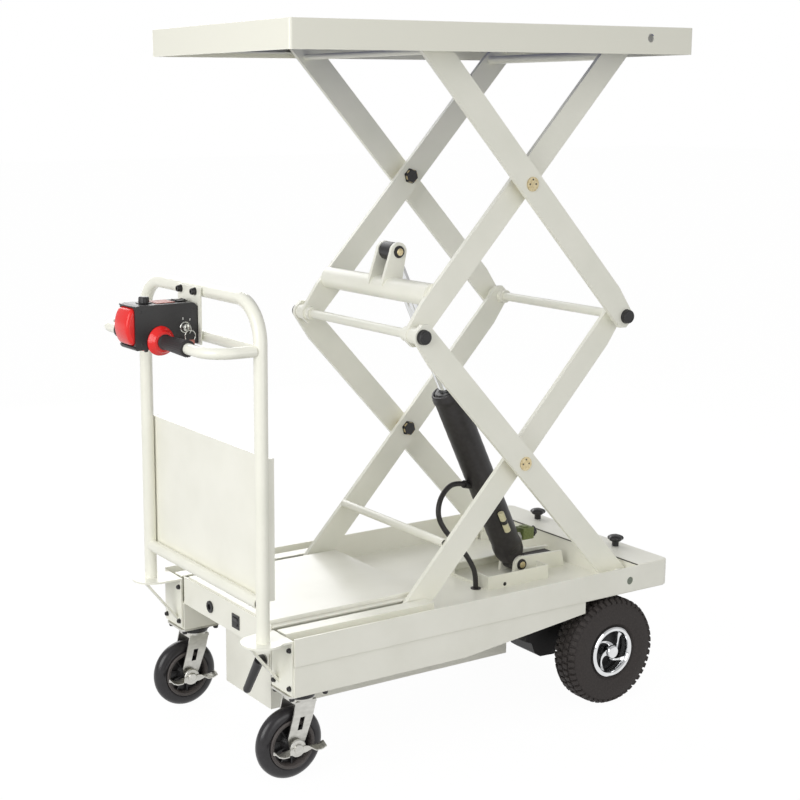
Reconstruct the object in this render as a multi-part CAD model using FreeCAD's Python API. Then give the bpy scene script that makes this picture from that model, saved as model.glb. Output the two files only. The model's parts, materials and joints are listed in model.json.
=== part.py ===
import FreeCAD, Part
import math
import os

# Self-propelled double scissor lift table. Millimetres, +Z up. Drawing frame: X = 0 at the platform's
# handle end and grows towards the driven wheels, Y = 0 on the centre plane, Z = 0 on the floor.
# Everything is drawn with the platform raised; frame_x moves the drawing to the middle of its length.

V = FreeCAD.Vector

# ---- driving dimensions ----
platform_length = 1010.0
platform_width = 560.0
platform_skirt = 56.0
platform_corner = 6.0
arm_pitch = 810.0            # pivot to pivot along one arm
arm_width = 56.0
arm_thickness = 10.0
raised_angle = 47.15         # arm angle to the floor at rest
lowered_angle = 8.0
base_front = 4.6
base_length = 1001.5
base_width = 560.0
deck_z = 310.0               # top of the base skirt
base_skirt = 57.0
sheet = 3.0                  # folded sheet thickness
rail_width = 86.0
rail_height = 62.0
rail_taper_start = 430.0     # the rail's underside rises from here to its end
rail_end = 760.0
rail_end_height = 26.0
rail_wall = 4.0
running = 0.05               # radial clearance of a pin that turns in its hole
side_gap = 0.5               # axial play between parts that turn past each other
seat = 0.3                   # gap left where a curved part rests on another body

# ---- scissor geometry ----
fixed_pivot_x = 888.0
deck_pivot_z = 278.3
outer_arm_y = 226.0          # inner face of the outer arms
inner_arm_y = 194.0          # inner face of the inner arms
pin_radius = 12.0
arm_end_radius = 19.0        # each arm end is rounded to this about its pivot, with one long corner clipped
arm_corner = 12.0
roller_width = 24.0

# ---- lift cylinder ----
cylinder_y = -20.0
foot_x = 766.0
foot_z = 276.0
head_x = 409.0
head_z = 1025.0
ear_gap = 42.0
ear_thickness = 8.0
ear_radius = 20.0
eye_width = 40.0
barrel_radius = 30.0
barrel_bore = 22.0
barrel_end = 470.0           # from the foot pin to the gland's face
rod_radius = 15.0
rod_floor = 52.0             # lowest point that the piston reaches, from the foot pin
sleeve_radius = 34.0
sleeve_start = 60.0
sleeve_taper = 26.0
sleeve_end = 475.0

# ---- wheels ----
caster_x = 21.0
caster_y = 227.0
caster_radius = 75.0
caster_width = 36.0
caster_hub_radius = 50.0
caster_trail = 27.0
caster_plate_thickness = 4.0
caster_axle_radius = 6.0
drive_x = 835.0
drive_y = 257.0
drive_radius = 123.0
drive_width = 70.0
rim_radius = 64.0
drive_axle_radius = 12.5

# ---- handle and controller ----
post_x = -47.0
post_y = 246.0
post_z = 305.0               # where the posts stand on their brackets
handle_top = 972.0
tube_radius = 13.5
tube_wall = 2.0
handle_bend = 80.0
lower_bar_z = 380.0
push_bar_z = 880.0
push_bar_reach = 103.0       # from the posts out to the grips
push_bar_radius = 11.0
grip_radius = 14.0           # at the head's end; the grip swells to its outer end
grip_end_radius = 17.0
head_front = -204.0
head_back = -66.0
head_half_width = 34.0
head_bottom = 864.0
head_top = 952.0

# ---- derived sizes ----
raised = math.radians(raised_angle)
mid_z = deck_pivot_z + arm_pitch * math.sin(raised)
top_pivot_z = deck_pivot_z + 2 * arm_pitch * math.sin(raised)
roller_x = fixed_pivot_x - arm_pitch * math.cos(raised)
centre_x = (fixed_pivot_x + roller_x) / 2
plate_gap = 20.1             # from the top pivots up to the platform's underside
platform_under = top_pivot_z + plate_gap
platform_z = platform_under + sheet
base_end = base_front + base_length
skirt_bottom = deck_z - base_skirt
floor_top = skirt_bottom
floor_bottom = floor_top - sheet
rail_bottom = floor_bottom - rail_height
half_base = base_width / 2
inner_arm_end = inner_arm_y + arm_thickness
outer_arm_end = outer_arm_y + arm_thickness
deck_roller_radius = deck_pivot_z - floor_top - seat
platform_roller_radius = plate_gap - seat
deck_roller_y = inner_arm_end + 4.0
platform_roller_y = outer_arm_end + 3.0
channel_flange = 207.0       # the roller channel's top flange starts here
channel_web = 239.0
channel_lip = 176.0
channel_lip_width = 14.5
channel_top = deck_pivot_z + deck_roller_radius + 1.7 + sheet
channel_end = 372.0
cover_end = 393.0
cover_half = 173.0
cover_top = 316.0
rear_cover_start = 917.0
head_pin_gap = 0.5
rear_most = platform_length
button_travel = 8.0
button_length = 18.0
front_most = head_front - button_length
frame_x = (front_most + rear_most) / 2
swivel_x = caster_x + caster_trail


# ---- helpers ----
def box(x0, x1, y0, y1, z0, z1):
    return Part.makeBox(x1 - x0, y1 - y0, z1 - z0, V(x0, y0, z0))


def round_bar(start, end, radius):
    along = end.sub(start)
    return Part.makeCylinder(radius, along.Length, start, along)


def bar_y(x, z, radius, y0, y1):
    return round_bar(V(x, y0, z), V(x, y1, z), radius)


def bar_z(x, y, radius, z0, z1):
    return round_bar(V(x, y, z0), V(x, y, z1), radius)


def bar_x(y, z, radius, x0, x1):
    return round_bar(V(x0, y, z), V(x1, y, z), radius)


def plate_xz(points, y0, y1):
    corners = [V(x, y0, z) for x, z in points]
    face = Part.Face(Part.makePolygon(corners + corners[:1]))
    return face.extrude(V(0, y1 - y0, 0))


def plate_xy(points, z0, z1):
    corners = [V(x, y, z0) for x, y in points]
    face = Part.Face(Part.makePolygon(corners + corners[:1]))
    return face.extrude(V(0, 0, z1 - z0))


def fuse(shapes):
    return shapes[0].fuse(shapes[1:]).removeSplitter() if len(shapes) > 1 else shapes[0]


def cut(shape, tools):
    return shape.cut(tools) if tools else shape


def other_side(shape):
    return shape.mirror(V(0, 0, 0), V(0, 1, 0))


def both_sides(shapes):
    return shapes + [other_side(shape) for shape in shapes]


def fillet_along(shape, axis, radius):
    edges = [edge for edge in shape.Edges if is_along(edge, axis)]
    return shape.makeFillet(radius, edges)


def is_along(edge, axis):
    if not isinstance(edge.Curve, Part.Line):
        return False
    return abs(edge.tangentAt(edge.FirstParameter).dot(axis)) > 0.999


def bent_wire(points, radii):
    """Straight runs between the points, joined by a tangent arc of the given radius at each inner point."""
    edges = []
    start = points[0]
    for index in range(1, len(points) - 1):
        corner = points[index]
        back = points[index - 1].sub(corner).normalize()
        ahead = points[index + 1].sub(corner).normalize()
        half = math.acos(max(-1.0, min(1.0, back.dot(ahead)))) / 2
        leg = radii[index - 1] / math.tan(half)
        enter = corner.add(V(back).multiply(leg))
        leave = corner.add(V(ahead).multiply(leg))
        bisector = back.add(ahead).normalize()
        centre = corner.add(V(bisector).multiply(radii[index - 1] / math.sin(half)))
        middle = centre.sub(V(bisector).multiply(radii[index - 1]))
        edges.append(Part.LineSegment(start, enter).toShape())
        edges.append(Part.Arc(enter, middle, leave).toShape())
        start = leave
    edges.append(Part.LineSegment(start, points[-1]).toShape())
    return Part.Wire(edges)


def swept(points, radii, radius):
    path = bent_wire(points, radii)
    along = points[1].sub(points[0])
    profile = Part.Wire([Part.makeCircle(radius, points[0], along)])
    return path.makePipeShell([profile], True, False)


def bent_tube(points, radii, radius, wall):
    return swept(points, radii, radius).cut(swept(points, radii, radius - wall))


def straight_tube(start, end, radius, wall):
    return round_bar(start, end, radius).cut(round_bar(start, end, radius - wall))


def save(name, shapes):
    solids = [solid for shape in shapes for solid in shape.Solids]
    compound = Part.makeCompound(solids)
    compound.translate(V(-frame_x, 0, 0))
    compound.exportStep("parts/" + name + ".step")


# ---- scissor arms ----
def arm_point(start, angle, along, across):
    """A point of an arm: along its length from the start pivot, and across, upwards positive."""
    cos, sin = math.cos(angle), math.sin(angle)
    return start[0] + along * cos - across * sin, start[1] + along * sin + across * cos


def arm_end(clip_side):
    """Half outline of an arm's end, pivot at 0 and the arm towards +: clipped edge first, square edge last."""
    half = arm_width / 2
    slope = math.radians(lowered_angle)
    clip_start = (half - arm_end_radius / math.cos(slope)) / math.tan(slope)
    touch = (-arm_end_radius * math.sin(slope), arm_end_radius * math.cos(slope))
    corners = [(clip_start, half), touch, (-arm_end_radius, 0.0), (-arm_end_radius, arm_corner - half),
               (arm_corner - arm_end_radius, -half)]
    return [(along, clip_side * across) for along, across in corners]


def arm(start, angle, clip_side, y0):
    """A flat bar with both long clips on one edge, bored at its ends and in the middle."""
    near = arm_end(clip_side)
    far = [(arm_pitch - along, across) for along, across in near]
    outline = [arm_point(start, angle, along, across) for along, across in near + far[::-1]]
    rounds = []
    holes = []
    for along in (0.0, arm_pitch / 2, arm_pitch):
        x, z = arm_point(start, angle, along, 0.0)
        rounds.append(bar_y(x, z, arm_end_radius, y0, y0 + arm_thickness))
        holes.append(bar_y(x, z, pin_radius + running, y0 - 1, y0 + arm_thickness + 1))
    return fuse([plate_xz(outline, y0, y0 + arm_thickness)] + rounds).cut(holes)


rising = raised
falling = math.pi - raised
deck_roller = (roller_x, deck_pivot_z)
deck_pivot = (fixed_pivot_x, deck_pivot_z)
left_joint = (roller_x, mid_z)
right_joint = (fixed_pivot_x, mid_z)
top_roller = (roller_x, top_pivot_z)
top_pivot = (fixed_pivot_x, top_pivot_z)


def lower_outer_arms():
    return both_sides([arm(deck_pivot, falling, 1, outer_arm_y)])


def lower_inner_arms():
    return both_sides([arm(deck_roller, rising, -1, inner_arm_y)])


def upper_inner_arms():
    return both_sides([arm(left_joint, rising, 1, inner_arm_y)])


def upper_outer_arms():
    return both_sides([arm(right_joint, falling, -1, outer_arm_y)])


# ---- pivot pins and cross tubes ----
hub_gap = 0.4
spacer_radius = 15.0
disc_radius = 15.0
nut_radius = 15.0
nut_length = 7.0
cap_radius = 14.0
cap_length = 10.0
joint_hub_radius = 17.5
joint_tube_radius = 10.0
boss_radius = 15.5
boss_length = 16.0


def centre_pin(z):
    """Shoulder pin of a crossing: nut, bore section, spacer between the arms, and the slotted disc."""
    pin = bar_y(centre_x, z, pin_radius, inner_arm_y - nut_length, outer_arm_end + 2.0)
    nut = bar_y(centre_x, z, nut_radius, inner_arm_y - nut_length, inner_arm_y)
    spacer = bar_y(centre_x, z, spacer_radius, inner_arm_end, outer_arm_y - hub_gap)
    disc = bar_y(centre_x, z, disc_radius, outer_arm_end + hub_gap, outer_arm_end + 2.4)
    key_holes = [bar_y(centre_x + offset, z, 2.0, outer_arm_end + 1.2, outer_arm_end + 3)
                 for offset in (-8.0, 8.0)]
    return fuse([pin, nut, spacer, disc]).cut(key_holes)


def joint_pin(x, z):
    """Pin of a knee between the two stages, with its black cap outside the outer arm."""
    pin = bar_y(x, z, pin_radius, inner_arm_y - boss_length + 2.0, outer_arm_end + 2.0)
    cap = bar_y(x, z, cap_radius, outer_arm_end + hub_gap, outer_arm_end + cap_length)
    return fuse([pin, cap])


def joint_hub(x, z):
    hub = bar_y(x, z, joint_hub_radius, inner_arm_end, outer_arm_y - hub_gap)
    return hub.cut(bar_y(x, z, pin_radius + running, inner_arm_end - 1, outer_arm_y + 1))


def joint_tube(x, z):
    """Cross tube on a knee's axis, with a boss at each end that holds the pin."""
    half = inner_arm_y
    tube = bar_y(x, z, joint_tube_radius, -half, half)
    bosses = [bar_y(x, z, boss_radius, side * half - (boss_length if side > 0 else 0),
                    side * half + (0 if side > 0 else boss_length)) for side in (-1, 1)]
    sockets = both_sides([bar_y(x, z, pin_radius + running, half - boss_length + 1.5, half + 1)])
    bore = bar_y(x, z, joint_tube_radius - tube_wall, 1 - half + boss_length, half - boss_length - 1)
    return fuse([tube] + bosses).cut(sockets + [bore])


def roller_pin(x, z, y0, y1, radius):
    return bar_y(x, z, radius, y0, y1)


roller_pin_radius = 9.0


def lower_pivot_pins():
    centre = centre_pin(deck_pivot_z + arm_pitch * math.sin(raised) / 2)
    knee = joint_pin(fixed_pivot_x, mid_z)
    stud = bar_y(roller_x, deck_pivot_z, pin_radius, inner_arm_y - 2, inner_arm_end)
    axle = bar_y(roller_x, deck_pivot_z, roller_pin_radius, inner_arm_end,
                 deck_roller_y + roller_width)
    collar = bar_y(roller_x, deck_pivot_z, roller_pin_radius + 4, inner_arm_end, deck_roller_y - side_gap)
    return both_sides([centre, knee, fuse([stud, axle, collar])])


def clevis_pin():
    half = ear_gap / 2 + ear_thickness
    pin = bar_y(head_x, head_z, 8.0, cylinder_y - half - 3, cylinder_y + half + 3)
    heads = [bar_y(head_x, head_z, 11.0, cylinder_y + side * half + (0 if side > 0 else -4),
                   cylinder_y + side * half + (4 if side > 0 else 0)) for side in (-1, 1)]
    return fuse([pin] + heads)


def upper_pivot_pins():
    centre = centre_pin(mid_z + arm_pitch * math.sin(raised) / 2)
    return both_sides([centre, joint_pin(roller_x, mid_z)]) + [clevis_pin()]


tie_tube_radius = 9.0
lower_tie = (165.0, 26.0)      # along and across the lower inner arm
upper_tie = (752.0, 12.0)
clevis_tube = (93.0, 12.0)
clevis_tube_radius = 24.0
clevis_tube_wall = 3.5
roller_tie = (32.0, 12.0)


def tie_tube(start, angle, place, radius, wall):
    x, z = arm_point(start, angle, place[0], place[1])
    return straight_tube(V(x, -inner_arm_y, z), V(x, inner_arm_y, z), radius, wall)


def lower_cross_tubes():
    tie = tie_tube(deck_roller, rising, lower_tie, tie_tube_radius, tube_wall)
    knee = joint_tube(fixed_pivot_x, mid_z)
    return [tie, knee] + both_sides([joint_hub(fixed_pivot_x, mid_z)])


def clevis_ear(y0):
    """Tapered ear from the thick tube up to the head pin."""
    tube_x, tube_z = arm_point(left_joint, rising, clevis_tube[0], clevis_tube[1])
    base_left = (tube_x - clevis_tube_radius - 2, tube_z + 8)
    base_right = (tube_x + clevis_tube_radius, tube_z + 2)
    tip_left = (head_x - ear_radius + 1.5, head_z + 6)
    tip_right = (head_x + ear_radius, head_z)
    tip = bar_y(head_x, head_z, ear_radius, y0, y0 + ear_thickness)
    web = plate_xz([base_left, base_right, tip_right, tip_left], y0, y0 + ear_thickness)
    hole = bar_y(head_x, head_z, 8.0 + running, y0 - 1, y0 + ear_thickness + 1)
    tube = bar_y(tube_x, tube_z, clevis_tube_radius, y0 - 1, y0 + ear_thickness + 1)
    return fuse([tip, web]).cut([hole, tube])


def tube_plug():
    """Disc pressed into the thick tube's end, flush with the arm."""
    x, z = arm_point(left_joint, rising, clevis_tube[0], clevis_tube[1])
    bore = clevis_tube_radius - clevis_tube_wall
    return bar_y(x, z, bore, inner_arm_y - 6.0, inner_arm_y)


def upper_cross_tubes():
    thick = tie_tube(left_joint, rising, clevis_tube, clevis_tube_radius, clevis_tube_wall)
    near_y = cylinder_y - ear_gap / 2 - ear_thickness
    far_y = cylinder_y + ear_gap / 2
    tie = tie_tube(left_joint, rising, upper_tie, tie_tube_radius, tube_wall)
    knee = joint_tube(roller_x, mid_z)
    hubs = both_sides([joint_hub(roller_x, mid_z)])
    plugs = both_sides([tube_plug()])
    return [thick] + plugs + [ clevis_ear(near_y), clevis_ear(far_y), tie, knee] + hubs


def upper_roller_studs():
    y_end = platform_roller_y + roller_width
    stud = bar_y(roller_x, top_pivot_z, pin_radius, outer_arm_y - 2, outer_arm_end)
    axle = bar_y(roller_x, top_pivot_z, roller_pin_radius, outer_arm_end, y_end)
    x, z = arm_point(top_roller, -raised, roller_tie[0], -roller_tie[1])
    tie = bar_y(x, z, 6.0, -outer_arm_y, outer_arm_y)
    return both_sides([fuse([stud, axle])]) + [tie]


def roller(x, z, y0, radius):
    tread = bar_y(x, z, radius, y0, y0 + roller_width - 1)
    tread = tread.makeChamfer(1.0, [edge for edge in tread.Edges if isinstance(edge.Curve, Part.Circle)])
    return tread.cut(bar_y(x, z, roller_pin_radius + running, y0 - 1, y0 + roller_width + 1))


def deck_rollers():
    return both_sides([roller(roller_x, deck_pivot_z, deck_roller_y, deck_roller_radius)])


def platform_rollers():
    return both_sides([roller(roller_x, top_pivot_z, platform_roller_y, platform_roller_radius)])


# ---- platform ----
def platform_tray():
    half = platform_width / 2
    bottom = platform_z - platform_skirt
    outer = box(0, platform_length, -half, half, bottom, platform_z)
    outer = fillet_along(outer, V(0, 0, 1), platform_corner)
    inner = box(sheet, platform_length - sheet, sheet - half, half - sheet, bottom - 1, platform_under)
    inner = fillet_along(inner, V(0, 0, 1), platform_corner - sheet)
    holes = bar_y(fixed_pivot_x, top_pivot_z, 9.0, -half - 1, half + 1)
    tray = outer.cut([inner, holes])
    rim = [edge for edge in tray.Edges if edge.BoundBox.ZMin > platform_z - 0.01]
    return [tray.makeFillet(1.5, rim)]


def platform_channels():
    """Roller tracks under the handle end: the plate above, a web outside and a retaining flange below."""
    y_web = platform_roller_y + roller_width + 1.0
    flange_z = top_pivot_z - platform_roller_radius - 1.2
    web = box(30, 400, y_web, y_web + sheet, flange_z - sheet, platform_under)
    flange = box(30, 400, platform_roller_y + 2, y_web + sheet, flange_z - sheet, flange_z)
    return both_sides([fuse([web, flange])])


def pivot_lug(x, z, y0, y1, z_root):
    """A plate that reaches from its root to a pivot and rounds it, with a hole for the pin."""
    reach = 1 if z_root > z else -1
    head = bar_y(x, z, 18.0, y0, y1)
    web = box(x - 26, x + 26, y0, y1, min(z_root, z + reach * 4), max(z_root, z + reach * 4))
    hole = bar_y(x, z, pin_radius + running, y0 - 1, y1 + 1)
    return fuse([head, web]).cut(hole)


lug_thickness = 7.0


def platform_pivots():
    outside = pivot_lug(fixed_pivot_x, top_pivot_z, inner_arm_end + side_gap,
                        inner_arm_end + side_gap + lug_thickness, platform_under)
    inside = pivot_lug(fixed_pivot_x, top_pivot_z, inner_arm_y - side_gap - lug_thickness,
                       inner_arm_y - side_gap, platform_under)
    pin = bar_y(fixed_pivot_x, top_pivot_z, pin_radius, inner_arm_y - lug_thickness - 3,
                inner_arm_end + lug_thickness + 3)
    return both_sides([outside, inside, pin])


# ---- base ----
def skirt_frame():
    outer = box(base_front, base_end, -half_base, half_base, skirt_bottom, deck_z)
    rear_edges = [edge for edge in outer.Edges
                  if is_along(edge, V(0, 0, 1)) and edge.BoundBox.XMin > base_end - 1]
    outer = outer.makeFillet(16.0, rear_edges)
    inner = box(base_front - 1, base_end - sheet, sheet - half_base, half_base - sheet,
                skirt_bottom - 1, deck_z + 1)
    rear_edges = [edge for edge in inner.Edges
                  if is_along(edge, V(0, 0, 1)) and edge.BoundBox.XMin > base_end - sheet - 1]
    inner = inner.makeFillet(16.0 - sheet, rear_edges)
    holes = bar_y(fixed_pivot_x, deck_pivot_z, 9.0, -half_base - 1, half_base + 1)
    return [outer.cut([inner, holes])]


battery_start = 58.0
battery_end = 687.0
battery_half = 96.0
battery_bottom = 90.0
hose_hole = (609.0, -78.0)
hose_radius = 6.0
grommet_neck = hose_radius + 2.5


def deck_floor():
    inset = sheet + 0.2
    plate = box(base_front + sheet, base_end - inset, inset - half_base, half_base - inset,
                floor_bottom, floor_top)
    rear_edges = [edge for edge in plate.Edges
                  if is_along(edge, V(0, 0, 1)) and edge.BoundBox.XMin > base_end - inset - 1]
    plate = plate.makeFillet(13.0, rear_edges)
    hatch = box(battery_start + 8, cover_end - 14, -battery_half + 8, battery_half - 8,
                floor_bottom - 1, floor_top + 1)
    hole = bar_z(hose_hole[0], hose_hole[1], grommet_neck + 0.2, floor_bottom - 1, floor_top + 1)
    return [plate.cut([hatch, hole])]


def rail_profile(inset):
    top = floor_bottom - inset
    bottom = rail_bottom + inset
    end_bottom = floor_bottom - rail_end_height + inset
    start = base_front + 1.0
    return [(start, top), (rail_end, top), (rail_end, end_bottom), (rail_taper_start, bottom),
            (start, bottom)]


def chassis_rails():
    y_out = half_base - 3.0
    y_in = y_out - rail_width
    shell = plate_xz(rail_profile(0.0), y_in, y_out)
    hollow = plate_xz(rail_profile(rail_wall), y_in + rail_wall, y_out - rail_wall)
    return both_sides([shell.cut(hollow)])


def roller_channels():
    """Track of the deck rollers: C section outside the slot, low wall with a lip inside it."""
    x0 = base_front + 4.0
    web = box(x0, channel_end, channel_web - sheet, channel_web, floor_top, channel_top)
    flange = box(x0, channel_end, channel_flange, channel_web, channel_top - sheet, channel_top)
    wall = box(x0, channel_end, channel_lip, channel_lip + sheet, floor_top, channel_top)
    lip = box(x0, channel_end, channel_lip, channel_lip + channel_lip_width, channel_top - sheet,
              channel_top)
    return both_sides([fuse([web, flange]), fuse([wall, lip])])


def battery_cover():
    x0 = base_front + 3.5
    outer = box(x0, cover_end, -cover_half, cover_half, floor_top, cover_top)
    inner = box(x0 + sheet, cover_end - sheet, sheet - cover_half, cover_half - sheet,
                floor_top - 1, cover_top - sheet)
    cover = outer.cut(inner)
    top_edges = [edge for edge in cover.Edges if edge.BoundBox.ZMin > cover_top - 0.01]
    return [cover.makeFillet(2.0, top_edges)]


socket_y = 66.0
socket_z = 278.0
rocker_y = -46.0
rocker_half = (12.0, 12.0)
panel_half = 188.0


def front_panel():
    plate = box(base_front, base_front + sheet, -panel_half, panel_half, floor_bottom, deck_z + 2)
    tab = box(base_front, base_front + sheet, lever_y - 15, lever_y + 15, lever_z - 14, floor_bottom)
    socket = bar_x(socket_y, socket_z, 10.0, base_front - 1, base_front + sheet + 1)
    window = box(base_front - 1, base_front + sheet + 1, rocker_y - rocker_half[0], rocker_y + rocker_half[0],
                 socket_z - rocker_half[1], socket_z + rocker_half[1])
    return [fuse([plate, tab]).cut([socket, window])]


def charge_inlet():
    collar = bar_x(socket_y, socket_z, 13.0, base_front - 3.0, base_front)
    body = bar_x(socket_y, socket_z, 9.9, base_front - 3.0, base_front + 3.4)
    bore = bar_x(socket_y, socket_z, 6.5, base_front - 4.0, base_front + 1.0)
    frame = rocker_block(3.0, base_front - 2.0, base_front)
    case = rocker_block(-0.1, base_front - 2.0, base_front + 3.4)
    well = rocker_block(-2.5, base_front - 3.0, base_front + 2.4)
    return [fuse([collar, body]).cut(bore), fuse([frame, case]).cut(well)]


def rocker_block(grow, x0, x1):
    """A block on the rocker's centre, larger than the panel's window by the given margin all round."""
    half_y = rocker_half[0] + grow
    half_z = rocker_half[1] + grow
    return box(x0, x1, rocker_y - half_y, rocker_y + half_y, socket_z - half_z, socket_z + half_z)


def power_rocker():
    """Two-way rocker in the bezel's well, turning about a horizontal axis."""
    x = base_front - 1.5
    high = rocker_half[1] - 3.5
    wide = rocker_half[0] - 3.2
    return [plate_xz([(x - 2.5, socket_z - high), (x - 0.5, socket_z), (x - 2.5, socket_z + high),
                      (x + 1.5, socket_z + high - 1), (x + 3.2, socket_z), (x + 1.5, socket_z - high + 1)],
                     rocker_y - wide, rocker_y + wide)]


def battery_box():
    outer = box(battery_start, battery_end, -battery_half, battery_half, battery_bottom, floor_bottom)
    inner = box(battery_start + sheet, battery_end - sheet, sheet - battery_half, battery_half - sheet,
                battery_bottom + sheet, floor_bottom + 1)
    return [outer.cut(inner)]


def power_pack():
    """Two batteries, the pump motor and its oil tank, seated in the box."""
    z0 = battery_bottom + sheet
    batteries = [box(x, x + 180, -88, 88, z0, z0 + 130) for x in (70.0, 256.0)]
    tank = box(540, 676, -80, 80, z0, z0 + 120)
    motor = bar_x(0, z0 + 62, 56, 446, 540)
    return batteries + [fillet_along(tank, V(0, 0, 1), 12.0), fuse([motor, box(460, 526, -40, 40, z0, z0 + 20)])]


# ---- cylinder foot ----
pedestal_x = 624.0
pedestal_end = 800.0
pedestal_near = -104.0
pedestal_far = 61.0
pedestal_top = 284.0
well_half = 43.0


def lift_pedestal():
    """Open box of welded plates on the deck, notched for the sleeve, and two ears that carry the foot pin."""
    well_near, well_far = cylinder_y - well_half, cylinder_y + well_half
    x0, x1 = pedestal_x + sheet, pedestal_end - sheet
    y0, y1 = pedestal_near + sheet, pedestal_far - sheet
    ledge = pedestal_top - sheet
    near_wall = box(pedestal_x, pedestal_end, pedestal_near, y0, floor_top, pedestal_top)
    wire_hole = bar_y(672.0, floor_top + 9.0, 3.0, pedestal_near - 1, y0 + 1)
    plates = [near_wall.cut(wire_hole),
              box(pedestal_x, pedestal_end, y1, pedestal_far, floor_top, pedestal_top),
              box(pedestal_x, x0, well_near, well_far, floor_top, floor_top + 6.0),
              box(x0, x1, well_far, y1, ledge, pedestal_top),
              box(foot_x - 26.0, x1, y0, well_near, floor_top + 10.0, floor_top + 12.0)]
    for start, end in ((pedestal_x, x0), (x1, pedestal_end)):
        plates.append(box(start, end, y0, well_near, floor_top, pedestal_top))
        plates.append(box(start, end, well_far, y1, floor_top, pedestal_top))
    ears = [foot_ear(cylinder_y - ear_gap / 2 - ear_thickness), foot_ear(cylinder_y + ear_gap / 2)]
    return plates + ears + [foot_stud(-1), foot_stud(1)]


def foot_ear(y0):
    y1 = y0 + ear_thickness
    head = bar_y(foot_x, foot_z, ear_radius, y0, y1)
    web = plate_xz([(foot_x - 22, floor_top), (foot_x + 130, floor_top), (foot_x + 122, foot_z + ear_radius - 6),
                    (foot_x + 8, foot_z + ear_radius - 2), (foot_x - ear_radius, foot_z)], y0, y1)
    return fuse([head, web]).cut(bar_y(foot_x, foot_z, 8.0 + running, y0 - 1, y1 + 1))


def foot_stud(side):
    """Half of the foot pin: a headed stud that ends flush with the ear's inner face."""
    inner = cylinder_y + side * ear_gap / 2
    outer = cylinder_y + side * (ear_gap / 2 + ear_thickness)
    shank = bar_y(foot_x, foot_z, 8.0, min(inner, outer), max(inner, outer))
    head = bar_y(foot_x, foot_z, 11.0, min(outer, outer + side * 4), max(outer, outer + side * 4))
    return fuse([shank, head])


# ---- cylinder, drawn along its own axis ----
axis_dir = V(head_x - foot_x, 0, head_z - foot_z)
raised_length = axis_dir.Length
axis_dir.normalize()
cross_dir = V(axis_dir.z, 0, -axis_dir.x)


def on_axis(along, across=0.0, y=0.0):
    base = V(foot_x, cylinder_y + y, foot_z)
    return base.add(V(axis_dir).multiply(along)).add(V(cross_dir).multiply(across))


def lowered_head():
    """Place of the head pin when the table is down: it turns with the upper inner arm."""
    turn = math.radians(raised_angle - lowered_angle)
    low = math.radians(lowered_angle)
    knee_x = fixed_pivot_x - arm_pitch * math.cos(low)
    knee_z = deck_pivot_z + arm_pitch * math.sin(low)
    dx, dz = head_x - roller_x, head_z - mid_z
    return (knee_x + dx * math.cos(turn) + dz * math.sin(turn),
            knee_z - dx * math.sin(turn) + dz * math.cos(turn))


lowered_head_x, lowered_head_z = lowered_head()
lowered_length = math.hypot(lowered_head_x - foot_x, lowered_head_z - foot_z)
stroke = raised_length - lowered_length


def cylinder_barrel():
    tube = round_bar(on_axis(36), on_axis(barrel_end), barrel_radius)
    bore = round_bar(on_axis(rod_floor - 2), on_axis(barrel_end - 18), barrel_bore)
    gland = round_bar(on_axis(barrel_end - 19), on_axis(barrel_end + 1), rod_radius + running)
    foot = bar_y(foot_x, foot_z, ear_radius - 1.5, cylinder_y - eye_width / 2, cylinder_y + eye_width / 2)
    neck_width = 2 * (ear_radius - 4)
    neck = oriented_block(0, 38, neck_width, eye_width)
    eye = bar_y(foot_x, foot_z, 8.0 + running, cylinder_y - eye_width, cylinder_y + eye_width)
    return [fuse([tube, foot, neck]).cut([bore, gland, eye])]


def oriented_block(along0, along1, width, depth):
    """A block along the cylinder's axis, as wide as given across it and as deep along Y."""
    corners = [on_axis(along0, -width / 2, -depth / 2), on_axis(along1, -width / 2, -depth / 2),
               on_axis(along1, width / 2, -depth / 2), on_axis(along0, width / 2, -depth / 2)]
    face = Part.Face(Part.makePolygon(corners + corners[:1]))
    return face.extrude(V(0, depth, 0))


def cylinder_sleeve():
    """Rubber sleeve around the barrel, drawn in towards its foot."""
    shoulder = sleeve_start + sleeve_taper
    taper = Part.makeCone(barrel_radius + 1.5, sleeve_radius, sleeve_taper, on_axis(sleeve_start), axis_dir)
    wall = round_bar(on_axis(shoulder), on_axis(sleeve_end), sleeve_radius)
    hole = round_bar(on_axis(sleeve_start - 1), on_axis(sleeve_end + 1), barrel_radius + running)
    return [fuse([taper, wall]).cut(hole)]


def piston_rod():
    rod_start = raised_length - (lowered_length - rod_floor)
    rod = round_bar(on_axis(rod_start), on_axis(raised_length - ear_radius + 4), rod_radius)
    piston = round_bar(on_axis(rod_start), on_axis(rod_start + 24), barrel_bore - running)
    eye = bar_y(head_x, head_z, ear_radius - 1.5, cylinder_y - eye_width / 2, cylinder_y + eye_width / 2)
    hole = bar_y(head_x, head_z, 8.0 + running, cylinder_y - eye_width, cylinder_y + eye_width)
    return [fuse([rod, piston, eye]).cut(hole)]


valve_along = 46.0
valve_across = 57.0
valve_half = (16.0, 15.0, 14.0)
pipe_along = (108.0, 156.0)
pipe_across = -9.0
pipe_offset = 42.0


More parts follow.
